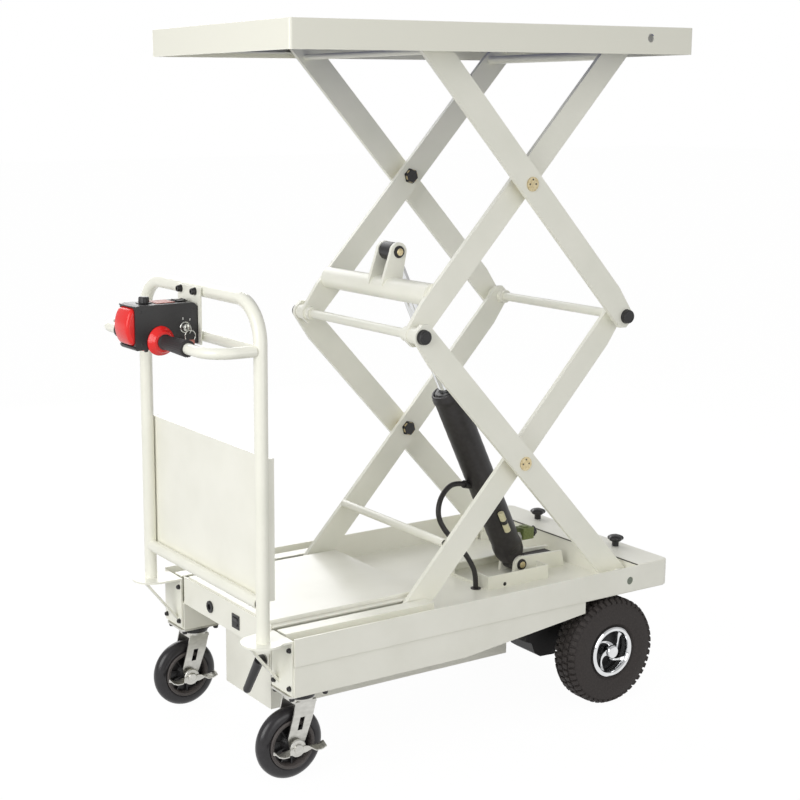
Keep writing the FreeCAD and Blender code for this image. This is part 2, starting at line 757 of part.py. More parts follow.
def valve_block():
    """Lowering valve on the barrel's foot, and the cream pipe clipped to the sleeve's side."""
    centre = on_axis(valve_along, valve_across)
    half_x, half_y, half_z = valve_half
    block = box(centre.x - half_x, centre.x + half_x, centre.y - half_y, centre.y + half_y,
                centre.z - half_z, centre.z + half_z)
    stem = round_bar(on_axis(valve_along, barrel_radius + seat), on_axis(valve_along, valve_across), 9.0)
    pipe = round_bar(on_axis(pipe_along[0], pipe_across, -pipe_offset),
                     on_axis(pipe_along[1], pipe_across, -pipe_offset), 6.0)
    middle = (pipe_along[0] + pipe_along[1]) / 2
    saddle = round_bar(on_axis(middle, pipe_across, -sleeve_radius + 1.0),
                       on_axis(middle, pipe_across, -pipe_offset), 4.0)
    sleeve = round_bar(on_axis(sleeve_start), on_axis(sleeve_end), sleeve_radius + seat)
    return [fuse([block, stem]), fuse([pipe, saddle.cut(sleeve)])]


# Route of the hose from its fitting on the sleeve down to the grommet in the deck.
hose_points = [V(614, -22, 484), V(583, -29, 493), V(550, -38, 484), V(525, -47, 460), V(517, -55, 428),
               V(532, -62, 396), V(553, -67, 372), V(575, -71, 347), V(594, -75, 319), V(609, -78, 287),
               V(609, -78, 251)]


def arc_radii(points):
    """Largest tangent radius at each inner point: 0.45 of the shorter run over the tangent of half the turn."""
    radii = []
    for before, corner, after in zip(points, points[1:], points[2:]):
        run_in = corner.sub(before)
        run_out = after.sub(corner)
        turn = run_in.getAngle(run_out)
        radii.append(0.45 * min(run_in.Length, run_out.Length) / math.tan(turn / 2))
    return radii


def hydraulic_hose():
    radii = arc_radii(hose_points)
    hose = swept(hose_points, radii, hose_radius)
    length = bent_wire(hose_points, radii).Length
    section = math.pi * hose_radius ** 2
    print("hose radii", [round(r) for r in radii], "length", round(length),
          "volume ratio", round(hose.Volume / (section * length), 4))
    return [hose]


def hose_fittings():
    """Union on the sleeve and rubber grommet in the deck."""
    first, second = hose_points[0], hose_points[1]
    back = first.sub(second).normalize()
    union = round_bar(first, first.add(V(back).multiply(22.0)), hose_radius + 3.0)
    sleeve = round_bar(on_axis(sleeve_start), on_axis(sleeve_end), sleeve_radius + seat)
    x, y = hose_hole
    grommet = bar_z(x, y, hose_radius + 5.5, floor_top, floor_top + 2)
    plug = bar_z(x, y, grommet_neck, floor_bottom, floor_top + 1)
    bore = bar_z(x, y, hose_radius + running, floor_bottom - 1, floor_top + 3)
    return [union.cut(sleeve)], [fuse([grommet, plug]).cut(bore)]


def rear_cover():
    outer = box(rear_cover_start, base_end - sheet - 0.3, sheet + 0.3 - half_base, half_base - sheet - 0.3,
                floor_top, deck_z + 1)
    rear_edges = [edge for edge in outer.Edges
                  if is_along(edge, V(0, 0, 1)) and edge.BoundBox.XMin > base_end - sheet - 1]
    outer = outer.makeFillet(12.0, rear_edges)
    inner = box(rear_cover_start + sheet, base_end + 1, -half_base, half_base, floor_top - 1,
                deck_z + 1 - sheet)
    holes = [bar_z(knob_x, side * knob_y, knob_stem_radius + 0.5, deck_z - 6, deck_z + 3) for side in (-1, 1)]
    return [outer.cut([inner] + holes)]


knob_x = 972.0
knob_y = 139.0
knob_radius = 20.0
knob_stem_radius = 5.0


def star_knob(side):
    """Five-lobed knob on its screw; it unscrews to free the rear cover."""
    y = side * knob_y
    z0 = deck_z + 1
    head = bar_z(knob_x, y, knob_radius - 4, z0 + 14, z0 + 26)
    lobes = [bar_z(knob_x + (knob_radius - 6) * math.cos(2 * math.pi * k / 5),
                   y + (knob_radius - 6) * math.sin(2 * math.pi * k / 5), 6.0, z0 + 14, z0 + 26)
             for k in range(5)]
    neck = bar_z(knob_x, y, 8.0, z0 + seat, z0 + 15)
    screw = bar_z(knob_x, y, knob_stem_radius, z0 - 20, z0 + 2)
    return [fuse([head] + lobes + [neck, screw])]


def deck_pivots():
    outside = pivot_lug(fixed_pivot_x, deck_pivot_z, outer_arm_end + side_gap,
                        outer_arm_end + side_gap + lug_thickness, floor_top)
    inside = pivot_lug(fixed_pivot_x, deck_pivot_z, outer_arm_y - side_gap - lug_thickness,
                       outer_arm_y - side_gap, floor_top)
    pin = bar_y(fixed_pivot_x, deck_pivot_z, pin_radius, outer_arm_y - lug_thickness - 3,
                outer_arm_end + lug_thickness + 3)
    return both_sides([outside, inside, pin])


# ---- drive ----
def drive_unit():
    """Gear case and axle tubes between the driven wheels with the motor in front, hung from the deck."""
    case = bar_y(drive_x, drive_radius, 46, -40, 40)
    reach = drive_y - drive_width / 2 - 6
    tubes = bar_y(drive_x, drive_radius, 24, -reach, reach)
    low = drive_radius - 38.0
    motor = plate_xz([(drive_x - 135, drive_radius + 6), (drive_x - 119, drive_radius), (drive_x - 109, low + 13),
                      (drive_x - 92, low + 2), (drive_x - 50, low), (drive_x - 32, drive_radius),
                      (drive_x - 32, drive_radius + 74), (drive_x - 135, drive_radius + 74)], -150, -66)
    bracket = box(drive_x - 105, drive_x - 55, -120, -96, drive_radius + 70, floor_bottom)
    bridge = box(drive_x - 60, drive_x - 20, -90, 0, drive_radius - 20, drive_radius + 40)
    axle = bar_y(drive_x, drive_radius, drive_axle_radius, -drive_y - 24, drive_y + 24)
    hanger = box(drive_x - 30, drive_x + 30, reach - 14, reach - 6, drive_radius - 10, floor_bottom)
    return [fuse([case, tubes, motor, bracket, bridge, axle, hanger, other_side(hanger)])]


def torus_tyre(x, y, z, radius, width, rim, shoulder):
    """Tyre with a rounded tread and a bore that seats on its rim."""
    half = width / 2
    points = [V(x, y - half + 4, z + rim), V(x, y - half, z + rim + 6), V(x, y - half, z + radius - shoulder),
              V(x, y - half + shoulder, z + radius), V(x, y + half - shoulder, z + radius),
              V(x, y + half, z + radius - shoulder), V(x, y + half, z + rim + 6), V(x, y + half - 4, z + rim)]
    corner = shoulder * (1 - math.sqrt(0.5))
    edges = [Part.LineSegment(points[0], points[1]).toShape(),
             Part.LineSegment(points[1], points[2]).toShape(),
             Part.Arc(points[2], V(x, y - half + corner, z + radius - corner), points[3]).toShape(),
             Part.LineSegment(points[3], points[4]).toShape(),
             Part.Arc(points[4], V(x, y + half - corner, z + radius - corner), points[5]).toShape(),
             Part.LineSegment(points[5], points[6]).toShape(),
             Part.LineSegment(points[6], points[7]).toShape(),
             Part.LineSegment(points[7], points[0]).toShape()]
    return Part.Face(Part.Wire(edges)).revolve(V(x, y, z), V(0, 1, 0), 360)


def drive_tyre(side):
    return [torus_tyre(drive_x, side * drive_y, drive_radius, drive_radius, drive_width, rim_radius, 20.0)]


def drive_rim(side):
    """Rim barrel with a dished disc and a hub cap, bored for the axle."""
    y = side * drive_y
    half = drive_width / 2 - 5
    barrel = bar_y(drive_x, drive_radius, rim_radius - running, y - half, y + half)
    recess = bar_y(drive_x, drive_radius, rim_radius - 7, y + side * 8 - (0 if side > 0 else half),
                   y + side * 8 + (half if side > 0 else 0))
    back = bar_y(drive_x, drive_radius, rim_radius - 7, min(y - side * (half + 1), y - side * 4),
                 max(y - side * (half + 1), y - side * 4))
    hub_outer = side * (drive_y + half + 4)
    hub = bar_y(drive_x, drive_radius, 17.0, min(y - side * half, hub_outer), max(y - side * half, hub_outer))
    bore = bar_y(drive_x, drive_radius, drive_axle_radius + running, min(y - side * (half + 2), y + side * 25),
                 max(y - side * (half + 2), y + side * 25))
    return [fuse([barrel.cut([recess, back]), hub]).cut(bore)]


# ---- casters ----
def caster_plates():
    z1 = rail_bottom
    plate = box(swivel_x - 48, swivel_x + 48, caster_y - 38, caster_y + 42, z1 - caster_plate_thickness, z1)
    plate = fillet_along(plate, V(0, 0, 1), 8.0)
    post = bar_z(swivel_x, caster_y, 10.0, z1 - 26, z1 - caster_plate_thickness)
    return both_sides([fuse([plate, post])])


def caster_fork(side):
    """Swivel head with two legs that carry the wheel's axle behind the swivel."""
    y = side * caster_y
    head_z1 = rail_bottom - caster_plate_thickness - side_gap
    head = bar_z(swivel_x, y, 30.0, head_z1 - 18, head_z1)
    crown = box(swivel_x - 24, swivel_x + 23, y - 27, y + 27, head_z1 - 23, head_z1 - 17)
    legs = []
    for inner in (y - 27, y + 24):
        outline = [(swivel_x - 24, head_z1 - 17), (swivel_x + 23, head_z1 - 17), (swivel_x + 14, 130.0),
                   (swivel_x - 2, caster_radius + 14), (caster_x + 14, caster_radius - 10),
                   (caster_x - 12, caster_radius - 10), (caster_x - 17, caster_radius + 18),
                   (swivel_x - 30, 142.0)]
        slot = plate_xz([(swivel_x - 15, 134.0), (swivel_x - 4, 134.0), (swivel_x - 11, 108.0),
                         (swivel_x - 22, 108.0)], inner - 1, inner + 4.0)
        legs.append(plate_xz(outline, inner, inner + 3.0).cut(slot))
    axle = bar_y(caster_x, caster_radius, caster_axle_radius, y - 32, y + 32)
    ends = [bar_y(caster_x, caster_radius, 9.0, min(a, b), max(a, b)) for a, b in ((y - 27, y - 33), (y + 27, y + 33))]
    bore = bar_z(swivel_x, y, 10.0 + running, head_z1 - 30, head_z1 + 1)
    return [fuse([head, crown] + legs + [axle] + ends).cut(bore)]


def caster_tyre(side):
    return [torus_tyre(caster_x, side * caster_y, caster_radius, caster_radius, caster_width,
                       caster_hub_radius, 8.0)]


def caster_hub(side):
    y = side * caster_y
    disc = bar_y(caster_x, caster_radius, caster_hub_radius - running, y - 7, y + 7)
    rim = bar_y(caster_x, caster_radius, caster_hub_radius - running, y - 15, y + 15)
    hollow = bar_y(caster_x, caster_radius, caster_hub_radius - 6, y - 16, y + 16)
    hub = bar_y(caster_x, caster_radius, 15.0, y - 22, y + 22)
    bore = bar_y(caster_x, caster_radius, caster_axle_radius + running, y - 24, y + 24)
    return [fuse([rim.cut(hollow), disc, hub]).cut(bore)]


pedal_reach = 58.0
pedal_tread = 20.0


def brake_pedal(side):
    """Two-winged pedal pivoted on the axle's end, near side of each caster, with a level tread on each wing."""
    y = side * caster_y - 33.0
    z = caster_radius
    front = y - 5.0
    disc = bar_y(caster_x, z, 18.0, front, y - side_gap)
    boss = bar_y(caster_x, z, 10.0, front - 4.0, front)
    band = plate_xz([(caster_x - pedal_reach, z + 3), (caster_x - pedal_reach, z - 6),
                     (caster_x - 14, z - 14), (caster_x + 14, z - 14), (caster_x + pedal_reach, z - 6),
                     (caster_x + pedal_reach, z + 3)], front, front + 3.0)
    treads = [box(x, x + pedal_reach - 26, front - pedal_tread, front + 3.0, z, z + 3.0)
              for x in (caster_x - pedal_reach, caster_x + 26)]
    hole = bar_y(caster_x, z, 9.0 + seat, front + 3.5, y + 1)
    return [fuse([disc, boss, band] + treads).cut(hole)]


# ---- corner brackets and handle ----
bracket_y = (196.0, 275.0)
bracket_thickness = 4.0
bracket_disc_radius = 43.0


def corner_brackets():
    """Plate bolted on the rail's end, a round shelf for the post and a slanting stay between them."""
    x1 = base_front + 1.0
    face = box(x1 - bracket_thickness, x1, bracket_y[0], bracket_y[1], rail_bottom + 4, post_z)
    shelf = bar_z(post_x, post_y - 4, bracket_disc_radius, post_z - bracket_thickness, post_z)
    tongue = box(post_x, x1, bracket_y[0] + 2, bracket_y[1], post_z - bracket_thickness, post_z)
    stay = plate_xz([(post_x - 30, post_z - 3), (post_x - 24, post_z - 3), (x1 - 2, rail_bottom + 22),
                     (x1 - 2, rail_bottom + 14)], post_y - 34, post_y - 22)
    return both_sides([fuse([face, shelf, tongue, stay])])


def frame_bolts():
    """Black screws of the corner brackets, the caster plates and the head's plate."""
    x0 = base_front + 1.0 - bracket_thickness
    bolts = [bar_x(y, z, 5.0, x0 - 6, x0) for y in (206.0, 266.0) for z in (205.0, 284.0)]
    z0 = rail_bottom - caster_plate_thickness
    bolts += [bar_z(swivel_x + dx, caster_y + dy, 6.0, z0 - 8, z0) for dx in (-39, 39) for dy in (-30, 34)]
    caps = [Part.makeCone(5.0, 7.0, 10.0, V(head_back - 10.0, y, handle_top - 1), V(1, 0, 0))
            for y in plate_bolt_y]
    return both_sides(bolts) + caps


def handle_frame():
    z0 = post_z
    corners = [V(post_x, -post_y, z0), V(post_x, -post_y, handle_top), V(post_x, post_y, handle_top),
               V(post_x, post_y, z0)]
    hoop = bent_tube(corners, [handle_bend, handle_bend], tube_radius, tube_wall)
    inner_y = post_y - tube_radius + 1
    lower = straight_tube(V(post_x, -inner_y, lower_bar_z), V(post_x, inner_y, lower_bar_z),
                          tube_radius - 1, tube_wall)
    upper = straight_tube(V(post_x, -inner_y, push_bar_z), V(post_x, inner_y, push_bar_z),
                          push_bar_radius, tube_wall)
    hoop_core = swept(corners, [handle_bend, handle_bend], tube_radius - 0.5)
    return [fuse([hoop, lower.cut(hoop_core), upper.cut(hoop_core)])]


grip_start = 40.0
grip_end = 150.0
loop_bend = 52.0


def push_bar():
    """One bar from post to post, out towards the operator, that carries the grips and the head."""
    x_out = post_x - push_bar_reach
    x_in = post_x - tube_radius + 1.5
    corners = [V(x_in, -post_y, push_bar_z), V(x_out, -post_y + 4, push_bar_z),
               V(x_out, post_y - 4, push_bar_z), V(x_in, post_y, push_bar_z)]
    bar = swept(corners, [loop_bend, loop_bend], push_bar_radius)
    post = bar_z(post_x, post_y, tube_radius, push_bar_z - 30, push_bar_z + 30)
    return [bar.cut([post, other_side(post)])]


def handle_grips():
    x_out = post_x - push_bar_reach
    start = head_half_width + paddle_hub + 3.0
    grip = Part.makeCone(grip_radius, grip_end_radius, grip_end - start, V(x_out, start, push_bar_z), V(0, 1, 0))
    grip = grip.makeFillet(2.5, [edge for edge in grip.Edges if isinstance(edge.Curve, Part.Circle)])
    bore = bar_y(x_out, push_bar_z, push_bar_radius + running, head_half_width, grip_end + 1)
    return both_sides([grip.cut(bore)])


panel_bottom = 386.0
panel_top = 670.0
panel_flange = 13.0


def handle_panel():
    """Thin sheet behind the posts with a folded flange on each side."""
    x0 = post_x + tube_radius + seat
    half = post_y + 2.0
    sheet_plate = box(x0, x0 + 1.5, -half, half, panel_bottom, panel_top)
    flanges = [box(x0, x0 + panel_flange, y, y + 1.5, panel_bottom, panel_top) for y in (-half, half - 1.5)]
    fold = box(x0, x0 + 8.0, -half, half, panel_top - 1.5, panel_top)
    return [fuse([sheet_plate, fold] + flanges)]


# ---- controller ----
paddle_x = post_x - push_bar_reach
paddle_hub = 15.0
paddle_radius = 28.0
plate_bolt_y = (-22.0, 38.0)


def controller_bracket():
    """White plate hung from the top bar by two screws; the housing is fixed to its front."""
    plate = box(head_back, head_back + 3.0, -44, 52, head_bottom + 2, handle_top + 8)
    pads = [bar_x(y, handle_top - 1, 7.0, head_back + 3.0, post_x - tube_radius + 3.0) for y in plate_bolt_y]
    bar = bar_y(post_x, handle_top, tube_radius, -60, 60)
    return [plate] + [pad.cut(bar) for pad in pads]


def controller_housing():
    """Two shells of the control head, bored for the button, the switches and the grip bar."""
    outline = [(head_front + 3, head_bottom), (head_back, head_bottom + 5), (head_back, head_top - 10),
               (head_back - 10, head_top - 1), (head_front + 10, head_top), (head_front, head_top - 2),
               (head_front, head_bottom + 3)]
    body = plate_xz(outline, -head_half_width, head_half_width)
    body = fillet_along(body, V(0, 1, 0), 1.5)
    button = button_block(head_front - 1, head_front + 20, side_gap)
    shaft = bar_y(paddle_x, push_bar_z, push_bar_radius + running, -head_half_width - 1, head_half_width + 1)
    key_hole = bar_y(key_x, key_z, 4.5, -head_half_width - 1, -head_half_width + 12)
    knob_hole = bar_z(top_knob_x, 0, 6.5, head_top - 22, head_top + 1)
    rocker_well = box(lift_rocker_x - 13, lift_rocker_x + 13, -9.5, 9.5, head_top - 22, head_top + 1)
    return [body.cut([button, shaft, key_hole, knob_hole, rocker_well])]


button_z = 910.0
button_half_width = 30.0
button_half_height = 37.0
button_corner = 9.0
button_crown = 13.0          # how far the button's face bulges beyond its upper and lower edges
key_x = -96.0
key_z = 903.0
top_knob_x = -168.0
lift_rocker_x = -92.0


def belly_button():
    """Big reversing button with a bulged face; pressed by the operator's body it slides inwards."""
    stem = button_block(front_most, head_front + 10, 0.0)
    edge_x = front_most + button_crown
    low = V(edge_x, -button_half_width - 1, button_z - button_half_height)
    top = V(edge_x, -button_half_width - 1, button_z + button_half_height)
    bulge = Part.Arc(low, V(front_most, -button_half_width - 1, button_z), top).toShape()
    back = Part.makePolygon([top, V(head_front + 11, top.y, top.z), V(head_front + 11, low.y, low.z), low])
    profile = Part.Face(Part.Wire([bulge] + back.Edges))
    return [stem.common(profile.extrude(V(0, 2 * button_half_width + 2, 0)))]


def button_block(x0, x1, clearance):
    half_y = button_half_width + clearance
    half_z = button_half_height + clearance
    block = box(x0, x1, -half_y, half_y, button_z - half_z, button_z + half_z)
    return fillet_along(block, V(1, 0, 0), button_corner + clearance)


def throttle_paddles():
    """Flared thumb ring on the bar, one either side of the head; they turn together."""
    y0 = head_half_width + side_gap
    y1 = head_half_width + paddle_hub
    hub = bar_y(paddle_x, push_bar_z, 17.0, y0, y1)
    flare = Part.makeCone(paddle_radius, 19.0, paddle_hub - 6.0, V(paddle_x, y0 + 4.0, push_bar_z), V(0, 1, 0))
    rim = bar_y(paddle_x, push_bar_z, paddle_radius, y0 + 1.0, y0 + 4.0)
    bore = bar_y(paddle_x, push_bar_z, push_bar_radius + running, y0 - 1, y1 + 1)
    return both_sides([fuse([hub, flare, rim]).cut(bore)])


def top_knob():
    cap = bar_z(top_knob_x, 0, 11.0, head_top + seat, head_top + 12)
    stem = bar_z(top_knob_x, 0, 6.0, head_top - 18, head_top + 1)
    mark = box(top_knob_x - 11, top_knob_x - 5, -1, 1, head_top + 11, head_top + 13)
    return [fuse([cap, stem, mark])]


def lift_rocker():
    """Up and down rocker on top of the head."""
    x, z = lift_rocker_x, head_top - 4.0
    return [plate_xz([(x - 11.5, z + 7.5), (x, z + 4.5), (x + 11.5, z + 7.5), (x + 10.5, z - 1), (x, z - 4.5),
                      (x - 10.5, z - 1)], -8.8, 8.8)]


def ignition_key():
    y0 = -head_half_width
    collar = bar_y(key_x, key_z, 9.5, y0 - 3.0, y0 - seat)
    stem = bar_y(key_x, key_z, 4.4, y0 - 8.0, y0 + 10.0)
    blade = box(key_x - 1.2, key_x + 1.2, y0 - 24, y0 - 7, key_z - 9, key_z + 9)
    blade = blade.cut(bar_x(y0 - 18, key_z, 2.5, key_x - 3, key_x + 3))
    return [fuse([collar, stem, blade])]


lever_x = base_front - 14.0
lever_y = -165.0
lever_z = 234.0


def release_lever():
    """Drive release lever on the front panel's corner, hanging from its pivot."""
    hub = bar_x(lever_y, lever_z, 11.0, lever_x - 4, lever_x + 10)
    stem = bar_x(lever_y, lever_z, 4.0, lever_x + 9, base_front - seat)
    root = V(lever_x, lever_y, lever_z)
    tip = V(lever_x, lever_y + 50, lever_z - 78)
    along = tip.sub(root)
    grip = Part.makeCone(10.0, 8.5, along.Length, root, along)
    return [fuse([hub, stem, grip, Part.makeSphere(8.5, tip)])]


SIDES = (("right", -1), ("left", 1))


def build():
    os.makedirs("parts", exist_ok=True)
    for name, maker in (
            ("lower_outer_arms", lower_outer_arms), ("lower_inner_arms", lower_inner_arms),
            ("upper_inner_arms", upper_inner_arms), ("upper_outer_arms", upper_outer_arms),
            ("lower_pivot_pins", lower_pivot_pins), ("upper_pivot_pins", upper_pivot_pins),
            ("lower_cross_tubes", lower_cross_tubes), ("upper_cross_tubes", upper_cross_tubes),
            ("upper_roller_studs", upper_roller_studs), ("deck_rollers", deck_rollers),
            ("platform_rollers", platform_rollers), ("platform_tray", platform_tray),
            ("platform_channels", platform_channels), ("platform_pivots", platform_pivots),
            ("skirt_frame", skirt_frame), ("deck_floor", deck_floor), ("chassis_rails", chassis_rails),
            ("roller_channels", roller_channels), ("battery_cover", battery_cover),
            ("front_panel", front_panel), ("charge_inlet", charge_inlet), ("power_rocker", power_rocker),
            ("battery_box", battery_box), ("power_pack", power_pack), ("lift_pedestal", lift_pedestal),
            ("cylinder_barrel", cylinder_barrel), ("cylinder_sleeve", cylinder_sleeve),
            ("piston_rod", piston_rod), ("valve_block", valve_block), ("hydraulic_hose", hydraulic_hose),
            ("rear_cover", rear_cover), ("deck_pivots", deck_pivots), ("drive_unit", drive_unit),
            ("caster_plates", caster_plates), ("corner_brackets", corner_brackets),
            ("frame_bolts", frame_bolts), ("handle_frame", handle_frame), ("push_bar", push_bar),
            ("handle_grips", handle_grips), ("handle_panel", handle_panel),
            ("controller_bracket", controller_bracket), ("controller_housing", controller_housing),
            ("belly_button", belly_button), ("throttle_paddles", throttle_paddles),
            ("top_knob", top_knob), ("lift_rocker", lift_rocker), ("ignition_key", ignition_key),
            ("release_lever", release_lever)):
        save(name, maker())
    union, grommet = hose_fittings()
    save("hose_union", union)
    save("hose_grommet", grommet)
    for label, side in SIDES:
        save("drive_wheel_" + label, drive_tyre(side) + drive_rim(side))
        save("caster_fork_" + label, caster_fork(side))
        save("caster_wheel_" + label, caster_tyre(side) + caster_hub(side))
        save("brake_pedal_" + label, brake_pedal(side))
        save("star_knob_" + label, star_knob(side))


build()
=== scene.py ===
import json
import math
import bpy
from mathutils import Matrix, Vector


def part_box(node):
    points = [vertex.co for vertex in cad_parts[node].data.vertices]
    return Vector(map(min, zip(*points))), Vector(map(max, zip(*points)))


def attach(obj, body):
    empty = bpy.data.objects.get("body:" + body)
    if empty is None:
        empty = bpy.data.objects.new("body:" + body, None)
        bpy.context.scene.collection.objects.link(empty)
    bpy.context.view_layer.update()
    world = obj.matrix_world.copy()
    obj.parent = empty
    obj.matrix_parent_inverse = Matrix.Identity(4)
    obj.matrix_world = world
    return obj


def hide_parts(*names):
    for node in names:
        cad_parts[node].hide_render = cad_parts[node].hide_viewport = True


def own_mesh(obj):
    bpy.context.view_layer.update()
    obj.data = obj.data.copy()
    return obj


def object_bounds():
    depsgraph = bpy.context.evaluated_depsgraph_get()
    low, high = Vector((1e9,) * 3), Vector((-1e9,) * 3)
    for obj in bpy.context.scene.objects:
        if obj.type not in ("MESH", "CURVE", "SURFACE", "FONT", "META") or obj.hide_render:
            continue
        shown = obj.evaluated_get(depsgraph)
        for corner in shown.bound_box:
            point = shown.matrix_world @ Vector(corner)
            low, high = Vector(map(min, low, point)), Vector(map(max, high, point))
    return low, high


# A self-propelled double scissor lift cart, dressed over its CAD frame. Metres, +Z up, the handle at -X,
# the driven wheels at +X.

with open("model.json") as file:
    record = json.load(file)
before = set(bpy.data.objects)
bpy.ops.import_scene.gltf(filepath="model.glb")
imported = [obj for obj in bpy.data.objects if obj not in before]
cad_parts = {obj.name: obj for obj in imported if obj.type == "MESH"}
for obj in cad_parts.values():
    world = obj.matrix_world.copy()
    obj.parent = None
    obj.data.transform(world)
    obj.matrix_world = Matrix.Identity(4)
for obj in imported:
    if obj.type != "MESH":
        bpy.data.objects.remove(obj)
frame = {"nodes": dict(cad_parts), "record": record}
cad_low, cad_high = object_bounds()
nodes = frame["nodes"]

SIDES = (("right", -1), ("left", 1))
X = Vector((1, 0, 0))
Y = Vector((0, 1, 0))
Z = Vector((0, 0, 1))


# ---- camera ----
def place_camera():
    """Heading, tilt and roll in radians; the lens is shifted a little off its axis."""
    yaw, pitch, roll = 1.024, -0.192, -0.005
    ahead = Vector((math.cos(pitch) * math.cos(yaw), math.cos(pitch) * math.sin(yaw), math.sin(pitch)))
    level = Vector((math.sin(yaw), -math.cos(yaw), 0))
    upright = level.cross(ahead)
    right = math.cos(roll) * level + math.sin(roll) * upright
    above = math.cos(roll) * upright - math.sin(roll) * level
    bpy.ops.object.camera_add()
    camera = bpy.context.object
    camera.name = "camera"
    turn = Matrix((right, above, -ahead)).transposed().to_4x4()
    camera.matrix_world = Matrix.Translation((-1.863345, -2.697063, 1.343614)) @ turn
    camera.data.sensor_width = 36
    camera.data.lens = 68.77
    camera.data.shift_x = 0.1346
    camera.data.shift_y = -0.0045
    camera.data.clip_end = 60
    bpy.context.scene.camera = camera


place_camera()


# ---- materials ----
def colour(code):
    """A linear colour from an sRGB hex code."""
    parts = [int(code[i:i + 2], 16) / 255 for i in (1, 3, 5)]
    return [p / 12.92 if p <= 0.04045 else ((p + 0.055) / 1.055) ** 2.4 for p in parts] + [1.0]


def add_node(tree, kind, settings, links=None):
    """One node with its settings (by input name, input number or attribute) and what feeds its inputs."""
    node = tree.nodes.new(kind)
    for key, value in settings.items():
        if isinstance(key, int) or key in node.inputs:
            node.inputs[key].default_value = value
        else:
            setattr(node, key, value)
    for key, source in (links or {}).items():
        tree.links.new(source, node.inputs[key])
    return node


def new_material(name, settings):
    """A named material with one Principled shader, returned with its tree and its Object coordinates."""
    material = bpy.data.materials.new(name)
    material.use_nodes = True
    tree = material.node_tree
    tree.nodes.clear()
    shader = add_node(tree, "ShaderNodeBsdfPrincipled", settings)
    add_node(tree, "ShaderNodeOutputMaterial", {}, {"Surface": shader.outputs["BSDF"]})
    place = add_node(tree, "ShaderNodeTexCoord", {})
    return material, tree, shader, place.outputs["Object"]


def two_tones(tree, shader, first, second, factor):
    """Colours a shader from two hex codes; inputs 6 and 7 of a Mix node are its two colours."""
    mix = add_node(tree, "ShaderNodeMix", {"data_type": "RGBA", 6: colour(first), 7: colour(second)}, {0: factor})
    tree.links.new(mix.outputs[2], shader.inputs["Base Color"])


def bump(tree, shader, height, strength, distance):
    node = add_node(tree, "ShaderNodeBump", {"Strength": strength, "Distance": distance}, {"Height": height})
    tree.links.new(node.outputs["Normal"], shader.inputs["Normal"])


def band(tree, value, low, high):
    """Stretches the part of a value between low and high to 0 to 1."""
    return add_node(tree, "ShaderNodeMapRange", {"From Min": low, "From Max": high}, {"Value": value}).outputs[0]


def noise(tree, place, scale, detail=2.0):
    return add_node(tree, "ShaderNodeTexNoise", {"Scale": scale, "Detail": detail}, {"Vector": place}).outputs["Fac"]


def orange_peel(tree, shader, place):
    bump(tree, shader, noise(tree, place, 330.0, 1.0), 0.12, 0.0004)


# Stove enamel over steel: pale ivory with a breath of green, glossy, with a fine orange peel of about 3 mm
# and the faint clouding that thick paint has over a hand's breadth.
def stove_enamel(name, light, shade):
    material, tree, shader, place = new_material(name, {"Roughness": 0.34, "IOR": 1.5, "Coat Weight": 0.25,
                                                        "Coat Roughness": 0.15})
    two_tones(tree, shader, light, shade, band(tree, noise(tree, place, 9.0, 3.0), 0.35, 0.75))
    orange_peel(tree, shader, place)
    return material


enamel = stove_enamel("ivory_stove_enamel", "#F4F3E7", "#EDEDE0")
enamel_sheet = stove_enamel("ivory_enamel_sheet", "#F5F4E9", "#EEEDE1")


# The platform's tray: the same enamel outside, and dark blue painted shade on the faces that look down under the
# plate.
def tray_enamel_with_painted_shade():
    plate_depth = 0.030
    material, tree, shader, place = new_material("ivory_enamel_with_painted_underside_shade",
                                                 {"Roughness": 0.34, "IOR": 1.5, "Coat Weight": 0.2})
    parts = add_node(tree, "ShaderNodeSeparateXYZ", {}, {"Vector": place})
    # Painted shade: faces near the top that look down get dark blue instead of the ivory enamel.
    height = add_node(tree, "ShaderNodeMath", {"operation": "GREATER_THAN", 1: cad_high[2] - plate_depth},
                      {0: parts.outputs["Z"]})
    facing = add_node(tree, "ShaderNodeNewGeometry", {})
    normal = add_node(tree, "ShaderNodeSeparateXYZ", {}, {"Vector": facing.outputs["True Normal"]})
    down = add_node(tree, "ShaderNodeMath", {"operation": "LESS_THAN", 1: -0.5}, {0: normal.outputs["Z"]})
    under = add_node(tree, "ShaderNodeMath", {"operation": "MULTIPLY"}, {0: height.outputs[0], 1: down.outputs[0]})
    two_tones(tree, shader, "#F0EFE2", "#39407A", under.outputs[0])
    orange_peel(tree, shader, place)
    return material


# Plated or turned steel with a faint grain of brushing.
def plated_steel(name, light, shade, roughness, stretch):
    material, tree, shader, place = new_material(name, {"Metallic": 1.0, "Roughness": roughness})
    lie = add_node(tree, "ShaderNodeMapping", {"Scale": stretch}, {"Vector": place})
    grain = noise(tree, lie.outputs[0], 60.0, 4.0)
    two_tones(tree, shader, light, shade, band(tree, grain, 0.3, 0.7))
    bump(tree, shader, grain, 0.1, 0.0003)
    return material


zinc = plated_steel("zinc_plated_pressing", "#D9D8D2", "#C6C5BF", 0.36, (1.0, 1.0, 2.0))
bright_steel = plated_steel("bright_turned_steel", "#DADAD6", "#B9B9B2", 0.25, (1.0, 8.0, 1.0))
brass = plated_steel("yellow_passivated_steel", "#E6D9B4", "#C8B58A", 0.4, (4.0, 4.0, 4.0))
chrome = plated_steel("hard_chrome", "#E6E7E8", "#DCDDDE", 0.08, (1.0, 1.0, 1.0))


# Moulded, cast or painted pieces, most of them black: a fine grain breaks up the shine.
def grained_piece(name, light, shade, roughness, grain, depth):
    material, tree, shader, place = new_material(name, {"Roughness": roughness, "IOR": 1.5})
    speck = noise(tree, place, grain, 3.0)
    two_tones(tree, shader, light, shade, band(tree, speck, 0.35, 0.7))
    bump(tree, shader, speck, 0.3, depth)
    return material


